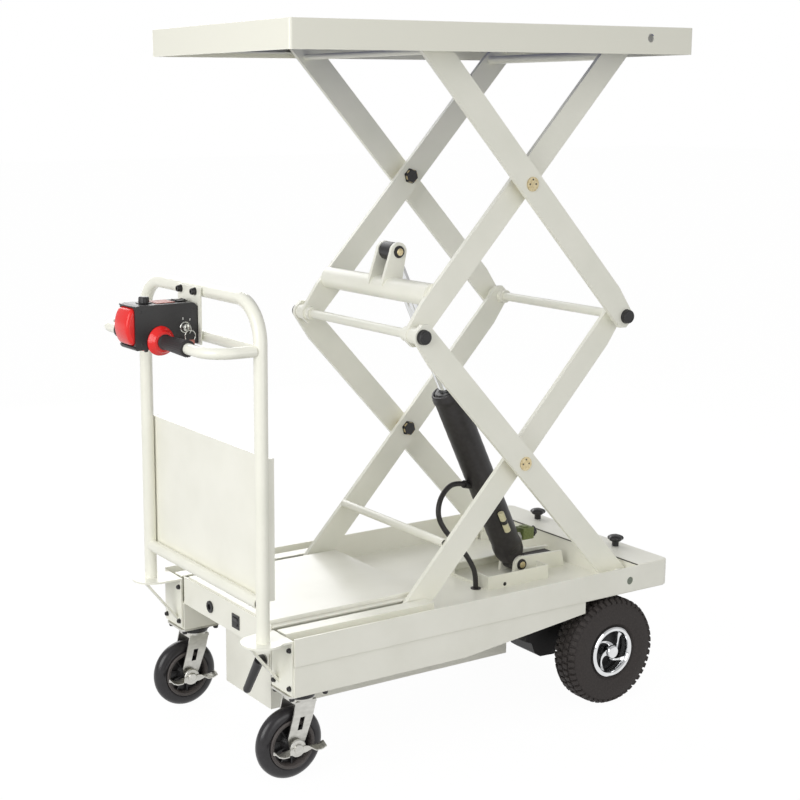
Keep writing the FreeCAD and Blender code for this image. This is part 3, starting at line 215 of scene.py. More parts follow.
black_abs = grained_piece("moulded_black_abs", "#1D1C1D", "#282728", 0.38, 900.0, 0.0003)
black_oxide = grained_piece("black_oxide_steel", "#1B1A1B", "#2C2A2A", 0.35, 300.0, 0.0002)
black_paint = grained_piece("black_chassis_paint", "#242324", "#2E2C2C", 0.5, 200.0, 0.0002)
sleeve_rubber = grained_piece("black_sleeve_rubber", "#221F20", "#2C292A", 0.42, 120.0, 0.0004)
tyre_rubber = grained_piece("black_tyre_rubber", "#2C2725", "#37312F", 0.72, 240.0, 0.0006)
caster_rubber = grained_piece("polished_caster_rubber", "#201E20", "#29272A", 0.3, 90.0, 0.0002)
grey_nylon = grained_piece("grey_moulded_nylon", "#4A4543", "#585250", 0.5, 500.0, 0.0002)
grip_rubber = grained_piece("black_grip_rubber", "#262324", "#302C2D", 0.6, 700.0, 0.0003)


# Glossy red polypropylene, dyed through, with a faint drift of tone.
def red_moulding():
    material, tree, shader, place = new_material("glossy_red_moulding", {"Roughness": 0.24, "IOR": 1.49})
    two_tones(tree, shader, "#EE2A26", "#E0201F", noise(tree, place, 25.0))
    bump(tree, shader, noise(tree, place, 1100.0), 0.1, 0.0002)
    return material


red = red_moulding()
green_metal = grained_piece("green_anodised_block", "#66723C", "#7C8750", 0.4, 200.0, 0.0003)
cream_plastic = grained_piece("cream_nylon_fitting", "#C9C29A", "#D8D2B4", 0.4, 200.0, 0.0002)
shaded_steel = grained_piece("shaded_steel", "#6F776B", "#868D80", 0.5, 300.0, 0.0001)
tag_red = grained_piece("faded_red_tag", "#B5594C", "#C98A7C", 0.45, 160.0, 0.0001)


def dress(material, *names):
    for name in names:
        node = nodes[name]
        if node.data.materials:
            for index in range(len(node.data.materials)):
                node.data.materials[index] = material
        else:
            node.data.materials.append(material)


dress(enamel, "lower_outer_arms", "lower_inner_arms", "upper_inner_arms", "upper_outer_arms",
      "lower_cross_tubes", "upper_cross_tubes", "platform_channels", "platform_pivots", "deck_pivots",
      "handle_frame", "push_bar", "controller_bracket", "corner_brackets", "lift_pedestal",
      "upper_roller_studs", "roller_channels")
dress(enamel_sheet, "skirt_frame", "deck_floor", "chassis_rails", "battery_cover", "front_panel",
      "rear_cover", "handle_panel", "battery_box")
dress(tray_enamel_with_painted_shade(), "platform_tray")
dress(brass, "lower_pivot_pins", "upper_pivot_pins")
dress(bright_steel, "deck_rollers", "platform_rollers", "ignition_key")
dress(zinc, "caster_plates", "caster_fork_right", "caster_fork_left", "brake_pedal_right", "brake_pedal_left")
dress(chrome, "piston_rod")
dress(black_oxide, "frame_bolts", "cylinder_barrel", "hose_union")
dress(black_paint, "drive_unit", "power_pack")
dress(sleeve_rubber, "cylinder_sleeve", "hydraulic_hose", "hose_grommet")
dress(grip_rubber, "handle_grips")
dress(black_abs, "controller_housing", "charge_inlet", "power_rocker", "lift_rocker", "top_knob",
      "star_knob_right", "star_knob_left", "release_lever")
dress(red, "belly_button", "throttle_paddles")
dress(green_metal, "valve_block")
dress(caster_rubber, "caster_wheel_right", "caster_wheel_left")
dress(tyre_rubber, "drive_wheel_right", "drive_wheel_left")


# ---- making pieces ----
def clear_selection():
    bpy.ops.object.select_all(action="DESELECT")


def close_piece(piece, name, material, body, smooth=35):
    """Names a piece, puts its place in its mesh, shades it, gives it its material and its body."""
    clear_selection()
    piece.select_set(True)
    bpy.context.view_layer.objects.active = piece
    bpy.ops.object.transform_apply(location=True, rotation=True, scale=True)
    bpy.ops.object.shade_smooth_by_angle(angle=math.radians(smooth))
    piece.name = name
    piece.data.name = name
    piece.data.materials.clear()
    piece.data.materials.append(material)
    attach(piece, body)
    return piece


def modify(piece, kind, **settings):
    """Adds a modifier and applies it."""
    clear_selection()
    piece.select_set(True)
    bpy.context.view_layer.objects.active = piece
    modifier = piece.modifiers.new(kind.lower(), kind)
    for key, value in settings.items():
        setattr(modifier, key, value)
    bpy.ops.object.modifier_apply(modifier=modifier.name)


def turned(outline, centre, axis, steps=72):
    """A shape turned on a lathe: outline is a closed loop of (radius, place along the axis)."""
    clear_selection()
    axis = Vector(axis).normalized()
    across = axis.orthogonal().normalized()
    bpy.ops.mesh.primitive_circle_add(vertices=len(outline), radius=0.01)
    piece = bpy.context.object
    for vertex, (radius, along) in zip(piece.data.vertices, outline):
        vertex.co = Vector(centre) + across * radius + axis * along
    bpy.ops.object.mode_set(mode="EDIT")
    bpy.ops.mesh.select_all(action="SELECT")
    bpy.ops.mesh.spin(steps=steps, angle=2 * math.pi, center=centre, axis=axis)
    bpy.ops.mesh.select_all(action="SELECT")
    bpy.ops.mesh.remove_doubles(threshold=0.000001)
    bpy.ops.mesh.delete_loose()
    bpy.ops.mesh.select_all(action="SELECT")
    bpy.ops.mesh.normals_make_consistent(inside=False)
    bpy.ops.object.mode_set(mode="OBJECT")
    return piece


def block(low, high, bevel, segments=2):
    """A machined block between two corners, with its edges eased."""
    clear_selection()
    low, high = Vector(low), Vector(high)
    bpy.ops.mesh.primitive_cube_add(size=1, location=(low + high) / 2)
    piece = bpy.context.object
    piece.scale = high - low
    bpy.ops.object.transform_apply(location=True, rotation=True, scale=True)
    modify(piece, "BEVEL", width=bevel, segments=segments, limit_method="ANGLE")
    return piece


def turned_copies(piece, centre, axis, count, start=0.0):
    """Copies of a piece, each with its own mesh, spread evenly about an axis; returns them all."""
    made = []
    for k in range(count):
        copy = piece.copy()
        copy.data = piece.data.copy()
        bpy.context.collection.objects.link(copy)
        turn = Matrix.Rotation(start + 2 * math.pi * k / count, 4, axis)
        copy.data.transform(Matrix.Translation(centre) @ turn @ Matrix.Translation(-Vector(centre)))
        made.append(copy)
    bpy.data.objects.remove(piece)
    return made


def joined(pieces):
    clear_selection()
    for piece in pieces:
        piece.select_set(True)
    bpy.context.view_layer.objects.active = pieces[0]
    if len(pieces) > 1:
        bpy.ops.object.join()
    return bpy.context.view_layer.objects.active


def centre_of(node):
    low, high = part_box(node)
    return (Vector(low) + Vector(high)) / 2


def pressed(columns, rows, place, thickness, bevel):
    """A pressed plate: a grid whose points lie where place(s, t) says, s and t from 0 to 1, then thickened."""
    clear_selection()
    bpy.ops.mesh.primitive_grid_add(x_subdivisions=columns, y_subdivisions=rows, size=1)
    piece = bpy.context.object
    for vertex in piece.data.vertices:
        vertex.co = place(vertex.co.x + 0.5, vertex.co.y + 0.5)
    modify(piece, "SOLIDIFY", thickness=thickness, offset=0)
    modify(piece, "BEVEL", width=bevel, segments=2, limit_method="ANGLE")
    return piece


def ring_about(piece, centre, axis, factor):
    """Scales each point of a turned piece from its axis by factor(angle, radius)."""
    axis = Vector(axis).normalized()
    first = axis.orthogonal().normalized()
    second = axis.cross(first)
    for vertex in piece.data.vertices:
        offset = vertex.co - Vector(centre)
        along = axis * offset.dot(axis)
        across = offset - along
        angle = math.atan2(across.dot(second), across.dot(first))
        vertex.co = Vector(centre) + along + across * factor(angle, across.length)


def both_sides(half):
    """A turned outline whose second half mirrors its first."""
    return half + [(radius, -along) for radius, along in half[::-1]]


def smooth_step(value, low, high):
    t = min(1.0, max(0.0, (value - low) / (high - low)))
    return t * t * (3 - 2 * t)


def islands(node):
    """Lowest and highest corner of each separate solid of a CAD node."""
    clear_selection()
    copy = nodes[node].copy()
    copy.data = nodes[node].data.copy()
    bpy.context.collection.objects.link(copy)
    copy.select_set(True)
    bpy.context.view_layer.objects.active = copy
    bpy.ops.object.mode_set(mode="EDIT")
    bpy.ops.mesh.select_all(action="SELECT")
    bpy.ops.mesh.remove_doubles(threshold=0.000002)
    bpy.ops.mesh.separate(type="LOOSE")
    bpy.ops.object.mode_set(mode="OBJECT")
    boxes = []
    for piece in list(bpy.context.selected_objects):
        points = [vertex.co for vertex in piece.data.vertices]
        boxes.append((Vector([min(p[i] for p in points) for i in range(3)]),
                      Vector([max(p[i] for p in points) for i in range(3)])))
        bpy.data.objects.remove(piece)
    return boxes


def nearest_face(node):
    """How far from the centre plane the nearest face of a node's solids lies."""
    return min(abs(corner.y) for box in islands(node) for corner in box)


joints = {joint["name"]: joint for joint in frame["record"]["behaviour"]["joints"]}


def joint_at(name):
    return Vector(joints[name]["pos_m"])


# ---- driven wheels ----
TREAD_LUGS = 46
LUG_HALF_LENGTH = 0.0054
LUG_HALF_WIDTH = 0.007
SHOULDER_ROOT, CROWN_ROOT = 0.101, 0.113  # where the outer and the inner rows of lugs start in the carcass
SPOKE_ANGLES = (57, 147, 237, 327)


def tread_row(centre, side, tall, across, root, start):
    """One row of tread lugs round the tyre; the outer rows lean down over the shoulder."""
    lug = block((centre.x - LUG_HALF_LENGTH, centre.y + side * across - LUG_HALF_WIDTH, centre.z + root),
                (centre.x + LUG_HALF_LENGTH, centre.y + side * across + LUG_HALF_WIDTH, centre.z + tall), 0.0012)
    if root == SHOULDER_ROOT:
        lean = -math.atan2(0.012, 0.02) * (1 if across > 0 else -1) * side
        pivot = Vector((centre.x, centre.y + side * across, centre.z + tall))
        lug.data.transform(Matrix.Translation((0, 0, -0.0035)) @ Matrix.Translation(pivot)
                           @ Matrix.Rotation(lean, 4, "X") @ Matrix.Translation(-pivot))
    return turned_copies(lug, centre, "Y", TREAD_LUGS, start * 2 * math.pi / TREAD_LUGS)


def drive_tyre(label, side, centre, radius):
    out = Y * side
    carcass = [(0.0585, 0.024), (0.066, 0.0315), (0.084, 0.0345), (0.100, 0.0338), (0.111, 0.0300), (0.1175, 0.020),
               (0.1192, 0.0), (0.1175, -0.020), (0.111, -0.0300), (0.100, -0.0338), (0.084, -0.0345),
               (0.066, -0.0315), (0.0585, -0.024)]
    tyre = [turned(carcass, centre, out, 96)]
    tall = radius - 0.0006
    for across, root, start in ((0.0265, SHOULDER_ROOT, 0.0), (-0.0265, SHOULDER_ROOT, 0.5),
                                (0.0085, CROWN_ROOT, 0.5), (-0.0085, CROWN_ROOT, 0.0)):
        tyre += tread_row(centre, side, tall, across, root, start)
    close_piece(joined(tyre), "drive_tyre_" + label, tyre_rubber, "large_wheel_" + label)


def curved_spoke(centre, side, ring_angle, root_radius, tip_radius, sweep, wide, depth):
    """A spoke that leaves the hub at a slant and broadens where it meets the hub and the ring."""
    def place(s, t):
        radius = root_radius + (tip_radius - root_radius) * s
        angle = ring_angle - sweep * (1 - s) ** 1.5
        half = wide * (0.62 + 0.55 * (2 * s - 1) ** 2) / 2
        angle += (2 * t - 1) * half / radius
        rise = depth - 0.006 * (1 - s) * s * 4
        return centre + Vector((-side * radius * math.cos(angle), side * rise, radius * math.sin(angle)))
    return pressed(16, 5, place, 0.006, 0.0012)


def drive_wheel(label, side):
    node = "drive_wheel_" + label
    body = "large_wheel_" + label
    centre = centre_of(node)
    low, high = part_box(node)
    out = Y * side
    drive_tyre(label, side, centre, (high[2] - low[2]) / 2)
    ring = turned([(0.0455, 0.022), (0.0465, 0.0290), (0.0490, 0.0325), (0.0545, 0.0330), (0.0575, 0.0310),
                   (0.0584, 0.0285), (0.0584, -0.028), (0.055, -0.028), (0.0535, 0.012)], centre, out, 96)
    close_piece(ring, "rim_ring_" + label, chrome, body, 30)
    dish = turned([(0.0, 0.000), (0.0530, 0.000), (0.0560, 0.012), (0.0570, 0.012), (0.0570, -0.010),
                   (0.0, -0.010)], centre, out, 64)
    close_piece(dish, "rim_dish_" + label, black_abs, body)
    spokes = [curved_spoke(centre, side, math.radians(turn), root_radius=0.014, tip_radius=0.0475, sweep=0.95,
                           wide=0.0105, depth=0.025) for turn in SPOKE_ANGLES]
    close_piece(joined(spokes), "rim_spokes_" + label, chrome, body, 40)
    cap = turned([(0.0, 0.0347), (0.0110, 0.0346), (0.0135, 0.0336), (0.0150, 0.0310), (0.0154, 0.0250),
                  (0.0165, 0.0180), (0.0185, 0.0), (0.0, 0.0)], centre, out, 48)
    close_piece(cap, "rim_cap_" + label, chrome, body, 30)
    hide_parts(node)


# ---- casters ----
def caster_wheel(label):
    node = "caster_wheel_" + label
    body = "small_wheel_" + label
    centre = centre_of(node)
    half_tread = [(0.0510, 0.0142), (0.0535, 0.0160), (0.0590, 0.0164), (0.0650, 0.0148), (0.0700, 0.0116),
                  (0.0732, 0.0074), (0.0747, 0.0034)]
    tyre = close_piece(turned(both_sides(half_tread), centre, Y, 96), "caster_tyre_" + label, caster_rubber, body, 50)
    half_rim = [(0.0410, 0.0095), (0.0425, 0.0160), (0.0445, 0.0186), (0.0490, 0.0190), (0.0512, 0.0172)]
    rim = turned(both_sides(half_rim), centre, Y, 96)
    close_piece(rim, "caster_rim_" + label, grey_nylon, body, 40)
    half_hub = [(0.0070, 0.0215), (0.0145, 0.0215), (0.0160, 0.0150), (0.0230, 0.0060), (0.0415, 0.0045),
                (0.0425, 0.0045)]
    hub = [turned(both_sides(half_hub), centre, Y, 64)]
    rib = block((centre.x - 0.0015, centre.y - 0.013, centre.z + 0.014),
                (centre.x + 0.0015, centre.y + 0.013, centre.z + 0.042), 0.0006, 1)
    hub += turned_copies(rib, centre, "Y", 10)
    close_piece(joined(hub), "caster_hub_" + label, black_abs, body)
    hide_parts(node)


def caster_trim(label):
    """Ball race under the plate, and the nut on the axle's far end."""
    body = "swivel_fork_" + label
    centre = centre_of("caster_wheel_" + label)
    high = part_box("caster_fork_" + label)[1]
    pivot = joint_at("swivel_" + label)
    race = turned([(0.012, 0.0), (0.0335, 0.0), (0.0350, -0.0025), (0.0345, -0.0065), (0.0310, -0.0085),
                   (0.0305, -0.0125), (0.012, -0.0125)], (pivot.x, pivot.y, high[2] - 0.0001), Z, 64)
    close_piece(race, "swivel_race_" + label, black_oxide, body)
    nut = turned([(0.0, 0.0), (0.0105, 0.0), (0.0105, 0.0050), (0.0092, 0.0062), (0.0, 0.0062)],
                 (centre.x, high[1] - 0.0008, centre.z), Y, 6)
    close_piece(nut, "axle_nut_" + label, zinc, body, 20)


def brake_pedal(label):
    """Two wings with level treads either side of a round boss."""
    node = "brake_pedal_" + label
    low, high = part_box(node)
    centre = joint_at("brake_" + label)
    reach = (high[0] - low[0]) / 2
    face = high[1] - 0.0045
    tread = face - low[1] - 0.001

    def wing(s, t):
        along = (2 * s - 1) * reach
        out = abs(along)
        level = smooth_step(out, 0.020, 0.034)
        drop = 0.0125 - 0.006 * smooth_step(out, 0.014, 0.040)
        tip = 0.004 * smooth_step(out, 0.046, reach)
        if t < 0.5:
            return Vector((centre.x + along, face - 0.001, centre.z + 0.0015 - (1 - 2 * t) * drop + tip))
        inward = (2 * t - 1) * (0.002 + (tread - 0.002) * level)
        return Vector((centre.x + along * (1 - 0.05 * (2 * t - 1)), face - 0.001 - inward,
                       centre.z + 0.0015 + tip - 0.0050 * (2 * t - 1) * level))
    wings = pressed(36, 9, wing, 0.0024, 0.0005)
    boss = turned([(0.0, 0.0100), (0.0080, 0.0100), (0.0098, 0.0085), (0.0102, 0.0052), (0.0165, 0.0046),
                   (0.0182, 0.0030), (0.0182, 0.0004), (0.0, 0.0004)], (centre.x, high[1], centre.z), -Y, 64)
    pedal = close_piece(joined([wings, boss]), "pedal_pressing_" + label, zinc, "pedal_" + label, 35)
    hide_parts(node)


# ---- linkage trim ----
def linkage_trim():
    """Black caps on the knees and black nuts on the crossing pins' inner ends."""
    inner_face = min(abs(high.y) for low, high in islands("lower_inner_arms") if high.y < 0)
    outer_face = max(high.y for low, high in islands("lower_outer_arms"))
    knee = joint_at("left_knee")
    far_knee = Vector((joint_at("lift").x, 0, knee.z))
    crossing, high_crossing = joint_at("lower_crossing"), joint_at("upper_crossing")
    for label, side in SIDES:
        out = Y * side
        for name, point, body in (("left", knee, "upper_inner_frame"), ("right", far_knee, "lower_inner_frame")):
            cap = turned([(0.0, 0.0108), (0.0098, 0.0108), (0.0106, 0.0116), (0.0132, 0.0116), (0.0146, 0.0100),
                          (0.0147, 0.0042), (0.0156, 0.0036), (0.0158, 0.0006), (0.0, 0.0006)],
                         (point.x, side * outer_face, point.z), out, 48)
            close_piece(cap, "knee_cap_%s_%s" % (name, label), black_abs, body, 40)
        for name, point, body in (("lower", crossing, "lower_inner_frame"),
                                  ("upper", high_crossing, "upper_inner_frame")):
            nut = turned([(0.0, 0.0), (0.0182, 0.0), (0.0182, 0.0016), (0.0165, 0.0018), (0.0165, 0.0068),
                          (0.0148, 0.0082), (0.0, 0.0082)], (point.x, side * inner_face, point.z), -out, 6)
            close_piece(nut, "crossing_nut_%s_%s" % (name, label), black_oxide, body, 20)


# ---- lift cylinder ----
ram_axis = Vector(joints["ram"]["axis"]).normalized()
if ram_axis.z < 0:
    ram_axis = -ram_axis
head_pin = joint_at("clevis_pivot")
EYE_RADIUS = 0.0185
EAR_FACE = 0.0290  # how far the outer faces of the ears lie from the centre plane, at either pin
foot_pin = head_pin - ram_axis * ((head_pin.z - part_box("cylinder_barrel")[0][2] - EYE_RADIUS) / ram_axis.z)
ram_across = Vector((ram_axis.z, 0, -ram_axis.x))


def on_ram(along, across=0.0, aside=0.0):
    return foot_pin + ram_axis * along + ram_across * across + Y * aside


def boot():
    """Black rubber boot over the barrel: loose cuff at its foot, faint creases, a clamped rim at its top."""
    end, creases = 0.476, 14
    first_crease, last_crease = 0.085, end - 0.030
    outline = [(0.0200, 0.016), (0.0262, 0.014), (0.0305, 0.020), (0.0338, 0.030), (0.0352, 0.042),
               (0.0350, 0.054), (0.0337, 0.062), (0.0336, 0.070), (0.0343, 0.078)]
    for k in range(creases * 2):
        along = first_crease + (last_crease - first_crease) * k / (creases * 2 - 1)
        outline.append((0.0342 + (0.0002 if k % 2 else -0.0001), along))
    outline += [(0.0344, end - 0.022), (0.0362, end - 0.020), (0.0366, end - 0.012), (0.0350, end - 0.008),
                (0.0352, end - 0.003), (0.0335, end), (0.0303, end), (0.0303, 0.040), (0.0262, 0.030)]
    piece = turned(outline, foot_pin, ram_axis)

    def sag(angle, radius):
        return 1 + 0.010 * math.sin(3 * angle + 40 * radius)
    ring_about(piece, foot_pin, ram_axis, sag)
    for vertex in piece.data.vertices:  # tucked in between the ears, and creased where it is tucked
        along = (vertex.co - foot_pin).dot(ram_axis)
        room = 0.0201 + 0.017 * smooth_step(along, 0.032, 0.058)
        vertex.co.y = foot_pin.y + max(-room, min(room, vertex.co.y - foot_pin.y))
        fold = math.sin((vertex.co - foot_pin).dot(ram_across) * 260 + along * 120)
        vertex.co += ram_axis * 0.0016 * fold * (1 - smooth_step(along, 0.030, 0.075)) * (along > 0.017)
    close_piece(piece, "cylinder_boot", sleeve_rubber, "cylinder_body", 60)
    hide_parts("cylinder_sleeve")


def rod_trim():
    """Black rod eye round the head pin, the wiper on the gland, and the rings and ends of both pins."""
    half = 0.0198
    eye = turned([(0.0081, half), (0.0175, half), (0.0192, half - 0.0016), (0.0192, 0.0016 - half),
                  (0.0175, -half), (0.0081, -half)], head_pin, Y, 56)
    neck_start = (head_pin - foot_pin).length - 0.040
    neck = turned([(0.0152, 0.0), (0.0165, 0.002), (0.0168, 0.024), (0.0152, 0.026)],
                  on_ram(neck_start), ram_axis, 48)
    close_piece(joined([eye, neck]), "rod_eye", black_oxide, "piston_rod_body")
    wiper = turned([(0.0153, 0.0), (0.0280, 0.0), (0.0285, 0.003), (0.0250, 0.0065), (0.0175, 0.0070),
                    (0.0153, 0.0055)], on_ram(0.4712), ram_axis, 56)
    close_piece(wiper, "gland_wiper", black_abs, "cylinder_body")
    for name, side in (("near", -1), ("far", 1)):
        face = side * EAR_FACE
        for label, pin, body in (("foot", foot_pin, "base"), ("head", head_pin, "upper_inner_frame")):
            ring = turned([(0.0070, 0.0046), (0.0108, 0.0046), (0.0118, 0.0038), (0.0120, 0.0012), (0.0132, 0.0010),
                           (0.0132, 0.0002), (0.0070, 0.0002)], pin + Y * face, Y * side, 40)
            close_piece(ring, "%s_pin_ring_%s" % (label, name), black_oxide, body)
            cap = turned([(0.0, 0.0058), (0.0066, 0.0058), (0.0078, 0.0050), (0.0080, 0.0042), (0.0, 0.0042)],
                         pin + Y * face, Y * side, 40)
            close_piece(cap, "%s_pin_end_%s" % (label, name), brass, body)


def valve():
    """Green lowering valve with its collar, black coil and looped lead, and the cream pipe beside the boot."""
    centre = on_ram(0.046, 0.057)
    size = Vector((0.016, 0.015, 0.014))
    body = joined([block(centre - size, centre + size, 0.0018),
                   block(centre + Vector((-0.010, -0.010, 0.014)), centre + Vector((0.004, 0.010, 0.0165)), 0.001)])
    close_piece(body, "valve_body", green_metal, "cylinder_body")
    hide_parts("valve_block")
    collar = turned([(0.0, 0.0), (0.0120, 0.0), (0.0128, 0.002), (0.0128, 0.008), (0.0100, 0.010), (0.0100, 0.016),
                     (0.0, 0.016)], on_ram(0.046, 0.0302), ram_across, 6)
    close_piece(collar, "valve_collar", zinc, "cylinder_body", 20)
    coil_low = centre + Vector((0.0155, -0.010, -0.011))
    coil = block(coil_low, coil_low + Vector((0.0105, 0.020, 0.020)), 0.0028, 3)
    clear_selection()
    bpy.ops.mesh.primitive_torus_add(major_radius=0.0085, minor_radius=0.0021, major_segments=40,
                                     minor_segments=12, rotation=(math.radians(62), 0, math.radians(35)),
                                     location=centre + Vector((0.024, -0.006, 0.004)))
    lead = bpy.context.object
    bpy.ops.object.transform_apply(location=True, rotation=True, scale=True)
    close_piece(joined([coil, lead]), "valve_coil", black_abs, "cylinder_body", 40)
    pipe_centre = on_ram(0.132, -0.009, -0.0418)
    pipe = turned([(0.0, -0.026), (0.0066, -0.026), (0.0073, -0.0252), (0.0073, -0.006), (0.0058, -0.005),
                   (0.0058, 0.005), (0.0073, 0.006), (0.0073, 0.0252), (0.0066, 0.026), (0.0, 0.026)],
                  pipe_centre, ram_axis, 36)
    close_piece(pipe, "cream_pipe", cream_plastic, "cylinder_body")
    clip = turned([(0.0059, -0.0042), (0.0074, -0.0038), (0.0074, 0.0038), (0.0059, 0.0042)],
                  pipe_centre, ram_axis, 36)
    close_piece(clip, "pipe_clip", black_abs, "cylinder_body")


# The hose's route from its union on the boot down into the deck, the same points as its solid has.
HOSE_ROUTE = ((0.220, -0.022, 0.484), (0.189, -0.029, 0.493), (0.156, -0.038, 0.484), (0.131, -0.047, 0.460),
              (0.123, -0.055, 0.428), (0.138, -0.062, 0.396), (0.159, -0.067, 0.372), (0.181, -0.071, 0.347),
              (0.200, -0.075, 0.319), (0.215, -0.078, 0.287), (0.215, -0.078, 0.251))
HOSE_RADIUS = 0.006
DECK_TOP = HOSE_ROUTE[-1][2]


def hydraulic_hose():
    """Stiff rubber hose along its route, held in the deck."""
    curve = bpy.data.curves.new("hydraulic_hose_line", "CURVE")
    curve.dimensions = "3D"
    spline = curve.splines.new("NURBS")
    spline.points.add(len(HOSE_ROUTE) - 1)
    for point, place in zip(spline.points, HOSE_ROUTE):
        point.co = (*place, 1)
    spline.order_u = 3
    spline.use_endpoint_u = True
    spline.resolution_u = 8
    line = bpy.data.objects.new("hydraulic_hose_line", curve)
    bpy.context.collection.objects.link(line)
    path = [tuple(vertex.co) for vertex in bpy.data.meshes.new_from_object(line).vertices]
    curve.bevel_depth = HOSE_RADIUS
    curve.bevel_resolution = 6
    curve.use_fill_caps = True
    clear_selection()
    line.select_set(True)
    bpy.context.view_layer.objects.active = line
    bpy.ops.object.convert(target="MESH")
    hose = close_piece(bpy.context.object, "rubber_hose", sleeve_rubber, "base", 60)
    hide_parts("hydraulic_hose")
    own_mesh(hose)


# ---- control head ----
def control_grips():
    """Ribbed rubber grips that swell outwards, and the flared red thumb rings beside the head."""
    bar = joint_at("throttle")
    grip_near = nearest_face("handle_grips")
    ring_near = nearest_face("throttle_paddles")
    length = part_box("handle_grips")[1][1] - grip_near
    rib_root, rib_depth, swell = 0.0132, 0.022, 12
    for label, side in SIDES:
        out = Y * side
        outline = [(0.0113, 0.0), (0.0150, 0.0), (0.0158, 0.002), (0.0158, 0.005), (0.0140, 0.007)]
        for k in range(1, swell):
            share = k / swell
            outline.append((0.0140 + 0.0028 * share, 0.007 + (length - 0.014) * share))
        outline += [(0.0168, length - 0.0045), (0.0170, length - 0.002), (0.0160, length), (0.0113, length)]
        place = (bar.x, side * grip_near, bar.z)
        grip = turned(outline, place, out, 96)

        def ribs(angle, radius):
            return 1 + rib_depth * math.cos(24 * angle) - rib_depth if radius > rib_root else 1.0
        ring_about(grip, place, out, ribs)
        close_piece(grip, "ribbed_grip_" + label, grip_rubber, "base", 50)
        if side > 0:
            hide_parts("handle_grips")
        place = (bar.x, side * ring_near, bar.z)
        ring = turned([(0.0113, 0.0), (0.0200, -0.0006), (0.0285, -0.0006), (0.0300, 0.0014), (0.0294, 0.0038),
                       (0.0262, 0.0060), (0.0226, 0.0100), (0.0206, 0.0140), (0.0186, 0.0158), (0.0113, 0.0158)],
                      place, out, 96)

        def lobes(angle, radius):
            return 1 - 0.04 * smooth_step(radius, 0.020, 0.028) * (1 - math.cos(3 * angle + 0.6)) / 2
        ring_about(ring, place, out, lobes)
        close_piece(ring, "thumb_ring_" + label, red, "throttle", 45)
        if side > 0:
            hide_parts("throttle_paddles")


def big_button():
    """Reversing button: a bulged, soft-edged cushion of red plastic with a fine rib near its edge."""
    low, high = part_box("belly_button")
    half_y, half_z = (high[1] - low[1]) / 2, (high[2] - low[2]) / 2
    centre = Vector(((low[0] + high[0]) / 2, (low[1] + high[1]) / 2, (low[2] + high[2]) / 2))
    crown, round_corner, soft = 0.012, 0.010, 0.006
    clear_selection()
    bpy.ops.mesh.primitive_cube_add(size=1, location=(0, 0, 0))
    piece = bpy.context.object
    bpy.ops.object.mode_set(mode="EDIT")
    bpy.ops.mesh.select_all(action="SELECT")
    bpy.ops.mesh.subdivide(number_cuts=23)
    bpy.ops.object.mode_set(mode="OBJECT")
    for vertex in piece.data.vertices:
        y, z = vertex.co.y * 2 * half_y, vertex.co.z * 2 * half_z
        over_y, over_z = abs(y) - (half_y - round_corner), abs(z) - (half_z - round_corner)
        if over_y > 0 and over_z > 0:
            reach = math.hypot(over_y, over_z)
            limit = max(over_y, over_z)
            y = math.copysign(half_y - round_corner + over_y * limit / reach, y)
            z = math.copysign(half_z - round_corner + over_z * limit / reach, z)
        edge = min(half_y - abs(y), half_z - abs(z))
        if over_y > 0 and over_z > 0:
            edge = round_corner - max(over_y, over_z)
        front = low[0] + crown * (z / half_z) ** 2 + 0.002 * (y / half_y) ** 2
        if edge < soft:
            front += soft - math.sqrt(max(0.0, soft ** 2 - (soft - edge) ** 2))
        groove = 0.0008 * math.exp(-((edge - 0.0085) / 0.0009) ** 2)
        share = vertex.co.x + 0.5
        x = (front + groove * (share < 0.01)) * (1 - share) + high[0] * share
        vertex.co = Vector((x, centre.y + y, centre.z + z))
    close_piece(piece, "reversing_button", red, "button", 60)
    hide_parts("belly_button")


